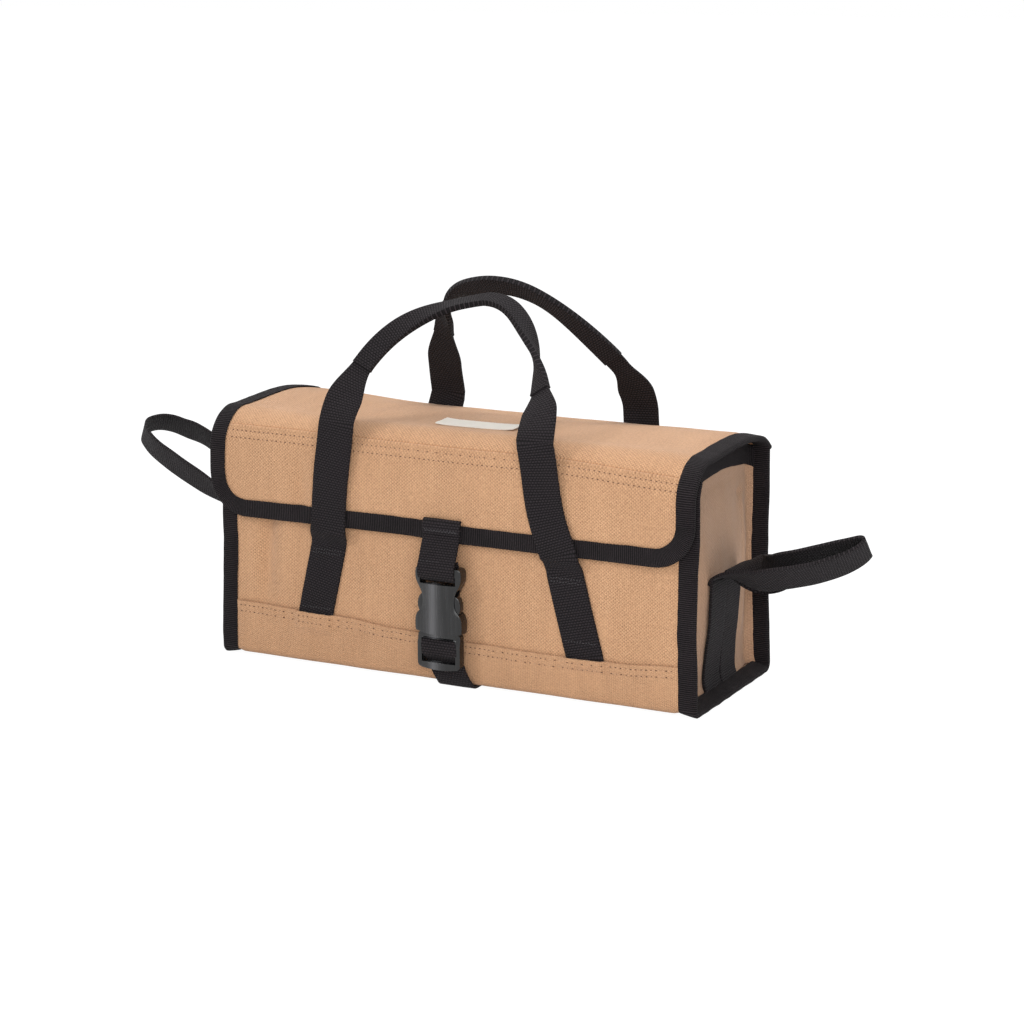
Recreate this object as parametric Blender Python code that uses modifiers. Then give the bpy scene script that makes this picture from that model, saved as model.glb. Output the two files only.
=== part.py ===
# Storage bag: a stiffened canvas case with a buckled lid, carry handles and end loops.
# Lengths are metres, +Z is up and the front faces -Y. The origin is on the floor,
# at the middle of the whole outline.

import math

import bmesh
import bpy
from mathutils import Matrix, Vector

# Overall case, measured over its bound edges
CASE_LENGTH = 0.340
CASE_DEPTH = 0.120
CASE_HEIGHT = 0.165
LID_BACK_DROP = 0.007

# Cloth, tape and webbing
CLOTH = 0.002
HEM_CLOTH = 0.0015
TAPE = 0.0008
TAPE_WIDTH = 0.013
WEBBING = 0.002
WEBBING_WIDTH = 0.025
BOARD = 0.002

# Clearances
FIT = 0.0003
LID_PLAY = 0.001
HANDLE_PLAY = 0.0025
END_PLAY = 0.0005
OVERRUN = 0.010

# Body pieces
HEM_HEIGHT = 0.035
BASE_LIFT = 0.0026
BASE_TAB_INSET = 0.002
MOUTH_RISE = 0.0035
END_BULGE = 0.007
END_FLAT_TOP = 0.030
END_SHOULDER = 0.012
END_SHOULDER_DROP = 0.007
BULGE_POWER = 0.7
FOLD_RADIUS = 0.003

# Lid, flap and label
LID_CORNER_RADIUS = 0.018
FLAP_CORNER_SHARE = 0.5
LABEL_LENGTH = 0.054
LABEL_WIDTH = 0.020
LABEL_THICKNESS = 0.0006
LABEL_X = 0.008
LABEL_INSET = 0.032

# Carry handles
HANDLE_SEWN_DROP = 0.012
HANDLE_FOOT_X = 0.0948
HANDLE_SEWN_X = 0.0845
HANDLE_STRAIGHT = 0.002
HANDLE_STEP_GAP = 0.003
NECK_GAP = 0.0003
FRONT_ARCH_X = 0.068
FRONT_ARCH_RISE = 0.077
FRONT_TOP_INSET = 0.051
FRONT_SKEW = 0.0136
FRONT_FOOT_SHIFT = 0.002
FRONT_TOP_SHIFT = 0.006
BACK_ARCH_X = 0.0735
BACK_ARCH_RISE = 0.0835
BACK_TOP_INSET = 0.051
BACK_FOOT_SHIFT = 0
BACK_LEG_SHIFT = 0.008
BACK_TOP_SHIFT = 0.001
BACK_SKEW = 0.0088
GRIP_WIDTH = 0.013
GRIP_THICKNESS = 0.004
LEAN_POWER = 1.3

# End loops
LOOP_SEWN_BOTTOM = 0.0075
LOOP_SEWN_TOP = 0.077
LOOP_REACH = 0.262
LOOP_HALF_WIDTH = 0.018
LOOP_LEG_GAP = 0.0006
LOOP_LIFT = 0.001
RIGHT_LOOP_RISE = 0.023
LEFT_LOOP_RISE = 0.048
RIGHT_LOOP_ROLL = math.radians(24)
LEFT_LOOP_ROLL = math.radians(34)
LOOP_LEAN = math.radians(42)
LOOP_POWER = 0.55

# Side release buckle
BUCKLE_WIDTH = 0.035
BUCKLE_DEPTH = 0.010
BUCKLE_TOP = 0.080
BUCKLE_BOTTOM = 0.016
SOCKET_MOUTH = 0.038
SOCKET_WALL = 0.002
SOCKET_WAIST = 0.026
SOCKET_SHOULDER = 0.028
SOCKET_ROUND = 0.0012
SOCKET_ROOF = 0.066
SLOT_LOW = 0.0695
SLOT_PLAY = 0.0015
BAR_LOW = 0.0745
BAR_HIGH = 0.0785
BAR_DEPTH = 0.003
WINDOW_LOW = 0.050
WINDOW_HIGH = 0.062
RAIL = 0.0035
PLUG_BAR = 0.004
PLUG_DEPTH = 0.007
PLUG_FLANGE = 0.003
ARM_WIDTH = 0.003
ARM_DEPTH = 0.0048
ARM_ROOT_X = 0.0105
ARM_TOP = 0.0625
PAD_OUT = 0.0158
BUCKLE_STANDOFF = 0.004
STRAP_SHOWN = 0.015
STRAP_LAP = 0.014
STRAP_LEAVES = 0.009
STRAP_TAIL = 0.035
STRAP_FLOOR_GAP = 0.0003

# How finely curves are drawn
ARC_STEPS = 8
TAPE_ARC_STEPS = 4
LEG_STEPS = 18
GRIP_STEPS = 30
LOOP_STEPS = 36
END_COLUMNS = 10
END_ROWS = 12
ROUNDING_SHARE = 1e-6

# Derived places: the front handle and buckle stand out more than the back handle
TAPE_HALF = CLOTH / 2 + FIT + TAPE
SLOT_HALF = CLOTH / 2 + FIT + TAPE / 2
BUCKLE_PROUD = BUCKLE_STANDOFF + BUCKLE_DEPTH
BACK_PROUD = FIT + WEBBING
CASE_Y = (BUCKLE_PROUD - BACK_PROUD) / 2
FRONT = CASE_Y - CASE_DEPTH / 2
BACK = CASE_Y + CASE_DEPTH / 2
FRONT_MID = FRONT + CLOTH / 2
BACK_MID = BACK - CLOTH / 2
BASE_MID = TAPE_HALF
EDGE_X = CASE_LENGTH / 2
CLOTH_X = EDGE_X - TAPE - FIT
END_X = EDGE_X - TAPE_WIDTH - FIT
END_MID = END_X - CLOTH / 2
FLAP_Y = FRONT_MID - TAPE_HALF - LID_PLAY - TAPE_HALF
LID_FRONT_Z = CASE_HEIGHT - CLOTH / 2
LID_BACK_Z = LID_FRONT_Z - LID_BACK_DROP
LID_ARC_Y = FLAP_Y + LID_CORNER_RADIUS
FLAP_TOP = LID_FRONT_Z - LID_CORNER_RADIUS
FLAP_BOTTOM = BUCKLE_TOP + STRAP_SHOWN
FLAP_CORNER_RADIUS = (FLAP_TOP - FLAP_BOTTOM) * FLAP_CORNER_SHARE
STRAP_TOP = FLAP_BOTTOM + STRAP_LAP
STRAP_JOIN = FLAP_BOTTOM - STRAP_LEAVES
HANDLE_SEWN_TOP = FLAP_BOTTOM - HANDLE_SEWN_DROP
HANDLE_LEAN_Z = CASE_HEIGHT
MOUTH_TOP = FLAP_TOP + MOUTH_RISE
FLAP_OUTER = FLAP_Y - TAPE_HALF
HEM_OUTER = FIT + HEM_CLOTH
HANDLE_FRONT_Y = FLAP_OUTER - HANDLE_PLAY - WEBBING / 2
SEWN_FRONT_Y = FRONT - FIT - WEBBING / 2
SEWN_BACK_Y = BACK + FIT + WEBBING / 2
BUCKLE_Y = FRONT - BUCKLE_STANDOFF - BUCKLE_DEPTH / 2
BASE_TOP = BASE_LIFT + CLOTH
BOARD_LOW = BASE_TOP + FIT
END_LOW = BOARD_LOW + BOARD + FIT
BACK_TOP = LID_BACK_Z - CLOTH / 2 - FIT

# Hinge lines, as points on each axis
LID_HINGE = Vector((0, BACK, BACK_TOP + FIT / 2))
FLAP_HINGE = Vector((0, FLAP_Y + TAPE_HALF, FLAP_TOP))
FRONT_HANDLE_HINGE = Vector((0, SEWN_FRONT_Y - WEBBING / 2, HANDLE_SEWN_TOP))
BACK_HANDLE_HINGE = Vector((0, SEWN_BACK_Y + WEBBING / 2, HANDLE_SEWN_TOP))
ARM_HINGE_Z = SOCKET_MOUTH

# Finishes: colour, roughness
CANVAS = ((0.55, 0.36, 0.22), 0.9)
BINDING = ((0.020, 0.018, 0.018), 0.75)
STRAP = ((0.014, 0.013, 0.013), 0.8)
PLASTIC = ((0.012, 0.012, 0.013), 0.35)
CREAM = ((0.78, 0.72, 0.60), 0.85)
STIFFENER = ((0.10, 0.10, 0.10), 0.6)


def clear_scene():
    for item in list(bpy.data.objects):
        bpy.data.objects.remove(item)


def new_collection(name):
    group = bpy.data.collections.new(name)
    bpy.context.scene.collection.children.link(group)
    return group


def material(name, finish):
    colour, roughness = finish
    made = bpy.data.materials.new(name)
    made.use_nodes = True
    shader = made.node_tree.nodes["Principled BSDF"]
    shader.inputs["Base Color"].default_value = (*colour, 1)
    shader.inputs["Roughness"].default_value = roughness
    return made


def add_object(name, mesh, finish, group):
    item = bpy.data.objects.new(name, mesh)
    group.objects.link(item)
    if finish:
        mesh.materials.append(material(name, finish))
    return item


def pivot(name, place, group, parent=None):
    empty = bpy.data.objects.new(name, None)
    group.objects.link(empty)
    hold(empty, parent)
    empty.matrix_world = Matrix.Translation(place)
    bpy.context.view_layer.update()
    return empty


def hold(item, parent):
    if parent:
        item.parent = parent
        item.matrix_parent_inverse = parent.matrix_world.inverted()


def thicken(item, thickness):
    wall = item.modifiers.new("Thickness", "SOLIDIFY")
    wall.thickness = thickness
    wall.offset = 0
    wall.use_even_offset = True
    return wall


# Cloth: a grid whose points are placed by a rule, given a thickness
def sheet(name, columns, rows, place, thickness, finish, group, parent=None):
    grid = bmesh.new()
    bmesh.ops.create_grid(grid, x_segments=columns, y_segments=rows, size=1)
    for vertex in grid.verts:
        vertex.co = place((vertex.co.x + 1) / 2, (vertex.co.y + 1) / 2)
    bmesh.ops.recalc_face_normals(grid, faces=grid.faces)
    mesh = bpy.data.meshes.new(name)
    grid.to_mesh(mesh)
    grid.free()
    item = add_object(name, mesh, finish, group)
    thicken(item, thickness)
    hold(item, parent)
    return item


def along(stations, share):
    reach = share * (len(stations) - 1)
    first = min(int(reach + ROUNDING_SHARE), len(stations) - 2)
    part = reach - first
    return [a.lerp(b, part) for a, b in zip(stations[first], stations[first + 1])]


# Webbing: stations hold a centre and the vector from the centre to one edge
def webbing(name, stations, thickness, finish, group, parent=None):
    def place(u, v):
        centre, half = along(stations, u)
        return centre + half * (2 * v - 1)

    return sheet(name, len(stations) - 1, 1, place, thickness, finish, group, parent)


# Binding tape folded over a cloth edge: stations hold a point on the cloth's edge line,
# the direction into the cloth and the cloth's normal
def folded_tape(name, stations, finish, group, parent=None):
    fold = FIT + TAPE / 2
    depth = TAPE_WIDTH - TAPE / 2
    corners = [(depth, -SLOT_HALF), (0, -SLOT_HALF), (0, SLOT_HALF), (depth, SLOT_HALF)]

    def place(u, v):
        edge, inward, normal = along(stations, u)
        run, rise = corners[round(v * (len(corners) - 1))]
        return edge + inward * (run - fold) + normal * rise

    columns = len(stations) - 1
    rows = len(corners) - 1
    return sheet(name, columns, rows, place, TAPE, finish, group, parent)


def block(name, low, high, finish, group, parent=None):
    solid = bmesh.new()
    bmesh.ops.create_cube(solid, size=1)
    size = [abs(b - a) for a, b in zip(low, high)]
    bmesh.ops.scale(solid, vec=size, verts=solid.verts)
    bmesh.ops.translate(solid, vec=(Vector(low) + Vector(high)) / 2, verts=solid.verts)
    mesh = bpy.data.meshes.new(name)
    solid.to_mesh(mesh)
    solid.free()
    item = add_object(name, mesh, finish, group)
    hold(item, parent)
    return item


# A flat plate in the XZ plane, drawn as a filled outline and centred on a Y value
def plate(name, outline, middle_y, depth, finish, group, parent=None):
    curve = bpy.data.curves.new(name, "CURVE")
    curve.dimensions = "2D"
    curve.fill_mode = "BOTH"
    curve.extrude = depth / 2
    line = curve.splines.new("POLY")
    line.points.add(len(outline) - 1)
    for point, (x, z) in zip(line.points, outline):
        point.co = (x, z, 0, 1)
    line.use_cyclic_u = True
    drawn = bpy.data.objects.new(name + "_outline", curve)
    group.objects.link(drawn)
    drawn.matrix_world = Matrix.Translation((0, middle_y, 0)) @ Matrix.Rotation(math.pi / 2, 4, "X")
    bpy.context.view_layer.update()
    seen = drawn.evaluated_get(bpy.context.evaluated_depsgraph_get())
    mesh = bpy.data.meshes.new_from_object(seen)
    mesh.name = name
    mesh.transform(drawn.matrix_world)
    bpy.data.objects.remove(drawn)
    solid = bmesh.new()
    solid.from_mesh(mesh)
    bmesh.ops.remove_doubles(solid, verts=solid.verts, dist=FIT / 10)
    bmesh.ops.recalc_face_normals(solid, faces=solid.faces)
    solid.to_mesh(mesh)
    solid.free()
    mesh.materials.clear()
    item = add_object(name, mesh, finish, group)
    hold(item, parent)
    return item


def soften(item, width):
    edge = item.modifiers.new("Edges", "BEVEL")
    edge.width = width
    edge.segments = 2
    edge.limit_method = "ANGLE"


def combine(item, other, operation):
    step = item.modifiers.new(operation.title(), "BOOLEAN")
    step.operation = operation
    step.object = other
    step.solver = "EXACT"
    other.hide_render = True
    other.display_type = "WIRE"


def lid_point(share):
    """The lid cloth's middle line from its back edge, over the front corner, to the flap."""
    straight = BACK - LID_ARC_Y
    bend = LID_CORNER_RADIUS * math.pi / 2
    reach = share * (straight + bend)
    if reach <= straight:
        part = reach / straight
        height = LID_BACK_Z + (LID_FRONT_Z - LID_BACK_Z) * part
        slope = Vector((0, straight, LID_FRONT_Z - LID_BACK_Z)).normalized()
        return Vector((0, BACK - reach, height)), Vector((0, slope.z, slope.y))
    turn = (reach - straight) / LID_CORNER_RADIUS
    normal = Vector((0, -math.sin(turn), math.cos(turn)))
    return Vector((0, LID_ARC_Y, FLAP_TOP)) + normal * LID_CORNER_RADIUS, normal


def lid_shares():
    straight = BACK - LID_ARC_Y
    bend = LID_CORNER_RADIUS * math.pi / 2
    start = straight / (straight + bend)
    shares = [0, start / 2]
    for step in range(ARC_STEPS + 1):
        shares.append(start + (1 - start) * step / ARC_STEPS)
    return shares


def lid_height(y):
    """Height of the lid cloth's middle over its flat part."""
    part = (BACK - y) / (BACK - LID_ARC_Y)
    return LID_BACK_Z + (LID_FRONT_Z - LID_BACK_Z) * part


def make_panels(group, cutters):
    def front_panel(u, v):
        low = BASE_TOP + FIT
        high = MOUTH_TOP - TAPE - FIT
        return Vector(((2 * u - 1) * CLOTH_X, FRONT_MID, low + (high - low) * v))

    def back_panel(u, v):
        low = BASE_TOP + FIT
        return Vector(((2 * u - 1) * CLOTH_X, BACK_MID, low + (BACK_TOP - low) * v))

    sheet("front_panel", 1, 1, front_panel, CLOTH, CANVAS, group)
    back = sheet("back_panel", 1, 1, back_panel, CLOTH, CANVAS, group)
    for name, side in (("left", -1), ("right", 1)):
        lid_side = block(
            "lid_room_" + name,
            (side * END_X, BACK - OVERRUN, BACK_TOP - TAPE_HALF),
            (side * (EDGE_X + OVERRUN), BACK + OVERRUN, BACK_TOP + OVERRUN),
            None,
            cutters,
        )
        combine(back, lid_side, "DIFFERENCE")

    hem_x = END_X + FIT - END_PLAY
    outer_y = CASE_DEPTH / 2 + HEM_OUTER
    base = block(
        "bottom_panel",
        (-hem_x, CASE_Y - outer_y, BASE_LIFT),
        (hem_x, CASE_Y + outer_y, HEM_HEIGHT),
        CANVAS,
        group,
    )
    hollow = block(
        "bottom_hollow",
        (-EDGE_X - OVERRUN, FRONT - FIT, BASE_TOP),
        (EDGE_X + OVERRUN, BACK + FIT, HEM_HEIGHT + OVERRUN),
        None,
        cutters,
    )
    combine(base, hollow, "DIFFERENCE")
    tab_y = CASE_DEPTH / 2 - CLOTH / 2 - BASE_TAB_INSET
    for name, side in (("left", -1), ("right", 1)):
        tab = block(
            "bottom_tab_" + name,
            (side * (hem_x - OVERRUN), CASE_Y - tab_y, BASE_MID - CLOTH / 2),
            (side * CLOTH_X, CASE_Y + tab_y, BASE_MID + CLOTH / 2),
            None,
            cutters,
        )
        combine(base, tab, "UNION")

    board_x = END_MID - CLOTH / 2 - FIT
    board_y = CASE_DEPTH / 2 - CLOTH - FIT
    block(
        "base_board",
        (-board_x, CASE_Y - board_y, BOARD_LOW),
        (board_x, CASE_Y + board_y, BOARD_LOW + BOARD),
        STIFFENER,
        group,
    )


def end_top(y):
    """Top edge of an end panel: it follows the lid and drops at its front shoulder."""
    roof = lid_height(y) - TAPE_HALF - END_PLAY - TAPE - FIT
    shoulder = FRONT + CLOTH + END_SHOULDER
    return roof - END_SHOULDER_DROP * max(shoulder - y, 0) / END_SHOULDER


def end_places(reach):
    """Y stations across an end, with one at the shoulder where its top edge turns."""
    shoulder = FRONT + CLOTH + END_SHOULDER
    last = CASE_Y + reach
    places = [CASE_Y - reach]
    for step in range(END_COLUMNS):
        places.append(shoulder + (last - shoulder) * step / (END_COLUMNS - 1))
    return places


def end_bulge(y, z):
    """How far an end panel swells outwards: nothing at its edges, most at its middle."""
    half = CASE_DEPTH / 2 - CLOTH - FIT
    across = 1 - ((y - CASE_Y) / half) ** 2
    top = BACK_TOP - END_FLAT_TOP
    up = (z - END_LOW) / (top - END_LOW)
    if up <= 0 or up >= 1:
        return 0
    return END_BULGE * max(across, 0) * math.sin(math.pi * up) ** BULGE_POWER


def make_ends(group):
    places = end_places(CASE_DEPTH / 2 - CLOTH - FIT)
    for name, side in (("left", -1), ("right", 1)):

        def panel(u, v, side=side):
            y = places[round(u * END_COLUMNS)]
            z = BOARD_LOW + (end_top(y) - BOARD_LOW) * v
            return Vector((side * (END_MID + end_bulge(y, z)), y, z))

        sheet("end_panel_" + name, END_COLUMNS, END_ROWS, panel, CLOTH, CANVAS, group)

        reach = CASE_DEPTH / 2 - CLOTH / 2 - TAPE_HALF - FIT
        stations = []
        for y in end_places(reach):
            edge = Vector((side * END_MID, y, end_top(y)))
            stations.append((edge, Vector((0, 0, -1)), Vector((side, 0, 0))))
        folded_tape("end_top_binding_" + name, stations, BINDING, group)


def end_binding_path(side):
    """The bound edge of front, bottom and back cloth, from the front's top round to the back's."""
    inward = Vector((-side, 0, 0))
    front_top = MOUTH_TOP - FIT
    back_top = BACK_TOP - TAPE_HALF - END_PLAY
    path = [(Vector((0, FRONT_MID, front_top)), Vector((0, -1, 0)))]
    turns = ((FRONT_MID + FOLD_RADIUS, math.pi), (BACK_MID - FOLD_RADIUS, math.pi * 3 / 2))
    for centre_y, start in turns:
        centre = Vector((0, centre_y, BASE_MID + FOLD_RADIUS))
        for step in range(TAPE_ARC_STEPS + 1):
            angle = start + step / TAPE_ARC_STEPS * math.pi / 2
            normal = Vector((0, math.cos(angle), math.sin(angle)))
            path.append((centre + normal * FOLD_RADIUS, normal))
    path.append((Vector((0, BACK_MID, back_top)), Vector((0, 1, 0))))
    shift = Vector((side * CLOTH_X, 0, 0))
    return [(point + shift, inward, normal) for point, normal in path]


def make_bindings(group):
    for name, side in (("left", -1), ("right", 1)):
        folded_tape("end_binding_" + name, end_binding_path(side), BINDING, group)
    mouth_x = END_MID - TAPE_HALF - FIT
    mouth_z = MOUTH_TOP - TAPE - FIT
    down = Vector((0, 0, -1))
    normal = Vector((0, -1, 0))
    stations = [(Vector((x, FRONT_MID, mouth_z)), down, normal) for x in (-mouth_x, mouth_x)]
    folded_tape("mouth_binding", stations, BINDING, group)


def make_lid(group, parent):
    shares = lid_shares()

    def place(u, v):
        point, _ = lid_point(shares[round(v * (len(shares) - 1))])
        x = (2 * u - 1) * CLOTH_X
        return point + Vector((x, 0, FIT / 2 if v == 1 else 0))

    sheet("lid_panel", 1, len(shares) - 1, place, CLOTH, CANVAS, group, parent)

    for name, side in (("left", -1), ("right", 1)):
        stations = []
        for share in shares:
            point, normal = lid_point(share)
            if share == 1:
                point = point + Vector((0, 0, FIT / 2))
            edge = point + Vector((side * CLOTH_X, 0, 0))
            stations.append((edge, Vector((-side, 0, 0)), normal))
        folded_tape("lid_binding_" + name, stations, BINDING, group, parent)

    def label(u, v):
        y = FRONT + LABEL_INSET + (v - 1 / 2) * LABEL_WIDTH
        x = LABEL_X + (u - 1 / 2) * LABEL_LENGTH
        z = lid_height(y) + CLOTH / 2 + FIT + LABEL_THICKNESS / 2
        return Vector((x, y, z))

    sheet("label", 1, 1, label, LABEL_THICKNESS, CREAM, group, parent)


def flap_edge():
    """The flap's bound edge, from its top left down, along the bottom and up again."""
    top = FLAP_TOP - FIT / 2
    low = FLAP_BOTTOM + TAPE + FIT
    radius = FLAP_CORNER_RADIUS
    path = [(Vector((-CLOTH_X, FLAP_Y, top)), Vector((1, 0, 0)))]
    for centre_x, start in ((-CLOTH_X + radius, math.pi), (CLOTH_X - radius, math.pi * 3 / 2)):
        centre = Vector((centre_x, FLAP_Y, low + radius))
        for step in range(ARC_STEPS + 1):
            angle = start + step / ARC_STEPS * math.pi / 2
            outward = Vector((math.cos(angle), 0, math.sin(angle)))
            path.append((centre + outward * radius, -outward))
    path.append((Vector((CLOTH_X, FLAP_Y, top)), Vector((-1, 0, 0))))
    return path


def make_flap(group, parent):
    path = flap_edge()
    outline = [(point.x, point.z) for point, _ in path]
    plate("flap_panel", outline, FLAP_Y, CLOTH, CANVAS, group, parent)
    normal = Vector((0, -1, 0))
    stations = [(point, inward, normal) for point, inward in path]
    folded_tape("flap_binding", stations, BINDING, group, parent)


def smooth_step(share):
    share = min(max(share, 0), 1)
    return share * share * (3 - 2 * share)


# Shares of a handle's half turn where its webbing narrows and where it has turned on edge
NECK_SHARE = 0.17
NARROW_SHARES = (0.07, 0.155)
TWIST_SHARES = (0.18, 0.40)


class Handle:
    """One carry handle. Its middle line runs up a leg, over an arch and down the other leg."""

    def __init__(self, out, sewn_y, clear_y, top_y, arch_x, rise, shifts, skew):
        self.out = out
        self.sewn_y = sewn_y
        self.clear_y = clear_y
        self.top_y = top_y
        self.arch_x = arch_x
        self.rise = rise
        self.foot_shift, self.leg_shift, self.top_shift = shifts
        self.skew = skew

    def lean(self, z):
        """Y of the middle line at a height above the sewn end."""
        step_low = HANDLE_SEWN_TOP + HANDLE_STRAIGHT
        if z <= step_low:
            return self.sewn_y
        step_high = FLAP_BOTTOM - HANDLE_STEP_GAP
        if z <= step_high:
            share = (z - step_low) / (step_high - step_low)
            return self.sewn_y + (self.clear_y - self.sewn_y) * share
        if z <= HANDLE_LEAN_Z:
            return self.clear_y
        share = min((z - HANDLE_LEAN_Z) / self.rise, 1)
        return self.clear_y + (self.top_y - self.clear_y) * share**LEAN_POWER

    def arch(self, share):
        """A point of the arch, share 0 to 1 from the left leg to the right one."""
        turn = share * math.pi
        height = math.sin(turn)
        shift = self.leg_shift + (self.top_shift - self.leg_shift) * height
        x = shift - self.arch_x * math.cos(turn)
        tilt = self.skew * math.cos(turn) * math.sin(2 * turn) ** 2
        z = HANDLE_LEAN_Z + self.rise * height
        return Vector((x, self.lean(z), z + tilt))

    def leg(self, side, z):
        """A point of a leg between its sewn end and the arch."""
        share = (z - HANDLE_SEWN_TOP) / (HANDLE_LEAN_Z - HANDLE_SEWN_TOP)
        low_x = side * HANDLE_SEWN_X + self.foot_shift
        top_x = side * self.arch_x + self.leg_shift
        x = low_x + (top_x - low_x) * share
        return Vector((x, self.lean(z), z))

    def half_width(self, before, after, share):
        """The vector from the middle line to one edge of the webbing."""
        forward = (after - before).normalized()
        outward = Vector((0, self.out, 0))
        flat = forward.cross(outward).normalized()
        on_edge = flat.cross(forward).normalized()
        reach = min(share, 1 - share)
        start, end = TWIST_SHARES
        turn = smooth_step((reach - start) / (end - start)) * math.pi / 2
        hand = 1 if share < 1 / 2 else -1
        start, end = NARROW_SHARES
        narrow = smooth_step((reach - start) / (end - start))
        width = WEBBING_WIDTH + (GRIP_WIDTH - WEBBING_WIDTH) * narrow
        return (flat * math.cos(turn) + on_edge * (hand * math.sin(turn))) * (width / 2)

    def arch_stations(self, first, last, steps):
        small = (last - first) / steps / 4
        stations = []
        for step in range(steps + 1):
            share = first + (last - first) * step / steps
            before = self.arch(share - small)
            after = self.arch(share + small)
            stations.append((self.arch(share), self.half_width(before, after, share)))
        return stations

    def leg_stations(self, side):
        step_high = FLAP_BOTTOM - HANDLE_STEP_GAP
        heights = [HANDLE_SEWN_TOP + FIT, HANDLE_SEWN_TOP + HANDLE_STRAIGHT, step_high]
        flat = range(1, ARC_STEPS)
        heights += [step_high + (HANDLE_LEAN_Z - step_high) * n / ARC_STEPS for n in flat]
        points = [self.leg(side, z) for z in heights]
        level = Vector((WEBBING_WIDTH / 2, 0, 0))
        stations = []
        for number, point in enumerate(points):
            if number < 2:
                half = level
            else:
                before = points[number - 1]
                after = points[min(number + 1, len(points) - 1)]
                forward = (after - before).normalized()
                half = forward.cross(Vector((0, 1, 0))).normalized() * (WEBBING_WIDTH / 2)
                half = half * (1 if half.x > 0 else -1)
            stations.append((point, half))
        end = NECK_SHARE - self.neck_gap()
        upper = self.arch_stations(0, end, LEG_STEPS)
        if side > 0:
            upper = self.arch_stations(1, 1 - end, LEG_STEPS)
        for centre, half in upper:
            stations.append((centre, half * (1 if half.dot(stations[-1][1]) > 0 else -1)))
        return stations

    def neck_gap(self):
        return NECK_GAP / (self.rise * math.pi)

    def neck(self):
        """Middle of the fold line, on the outer face of the webbing at both necks."""
        middle = (self.arch(NECK_SHARE) + self.arch(1 - NECK_SHARE)) / 2
        rise = Vector((0, self.lean(middle.z + FIT) - self.lean(middle.z), FIT)).normalized()
        return middle + Vector((0, self.out * rise.z, -self.out * rise.y)) * (GRIP_THICKNESS / 2)


FRONT_HANDLE = Handle(
    -1,
    SEWN_FRONT_Y,
    HANDLE_FRONT_Y,
    FRONT + FRONT_TOP_INSET,
    FRONT_ARCH_X,
    FRONT_ARCH_RISE,
    (FRONT_FOOT_SHIFT, FRONT_FOOT_SHIFT, FRONT_TOP_SHIFT),
    FRONT_SKEW,
)
BACK_HANDLE = Handle(
    1,
    SEWN_BACK_Y,
    SEWN_BACK_Y,
    BACK - BACK_TOP_INSET,
    BACK_ARCH_X,
    BACK_ARCH_RISE,
    (BACK_FOOT_SHIFT, BACK_LEG_SHIFT, BACK_TOP_SHIFT),
    BACK_SKEW,
)


def make_handle(prefix, handle, group, legs_parent, grip_parent):
    for name, side in (("left", -1), ("right", 1)):
        level = Vector((WEBBING_WIDTH / 2, 0, 0))
        shift = handle.foot_shift
        foot = Vector((side * HANDLE_FOOT_X + shift, handle.sewn_y, HEM_HEIGHT + FIT))
        head = Vector((side * HANDLE_SEWN_X + shift, handle.sewn_y, HANDLE_SEWN_TOP - FIT))
        sewn = [(foot, level), (head, level)]
        webbing(prefix + "_handle_base_" + name, sewn, WEBBING, STRAP, group)
        stations = handle.leg_stations(side)
        webbing(prefix + "_handle_leg_" + name, stations, WEBBING, STRAP, group, legs_parent)
    first = NECK_SHARE + handle.neck_gap()
    stations = handle.arch_stations(first, 1 - first, GRIP_STEPS)
    even = [stations[0]]
    for centre, half in stations[1:]:
        even.append((centre, half * (1 if half.dot(even[-1][1]) > 0 else -1)))
    webbing(prefix + "_handle_grip", even, GRIP_THICKNESS, STRAP, group, grip_parent)


def loop_surface(side, y, z):
    """Middle of webbing that lies sewn on an end panel."""
    out = END_X + end_bulge(y, z) + LOOP_LIFT + WEBBING / 2
    return Vector((side * out, y, z))


def loop_hinge(side):
    """A point on the outer top edge of the webbing sewn on an end."""
    out = Vector((side * WEBBING / 2, 0, 0))
    return loop_surface(side, CASE_Y, LOOP_SEWN_TOP) + out


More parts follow.
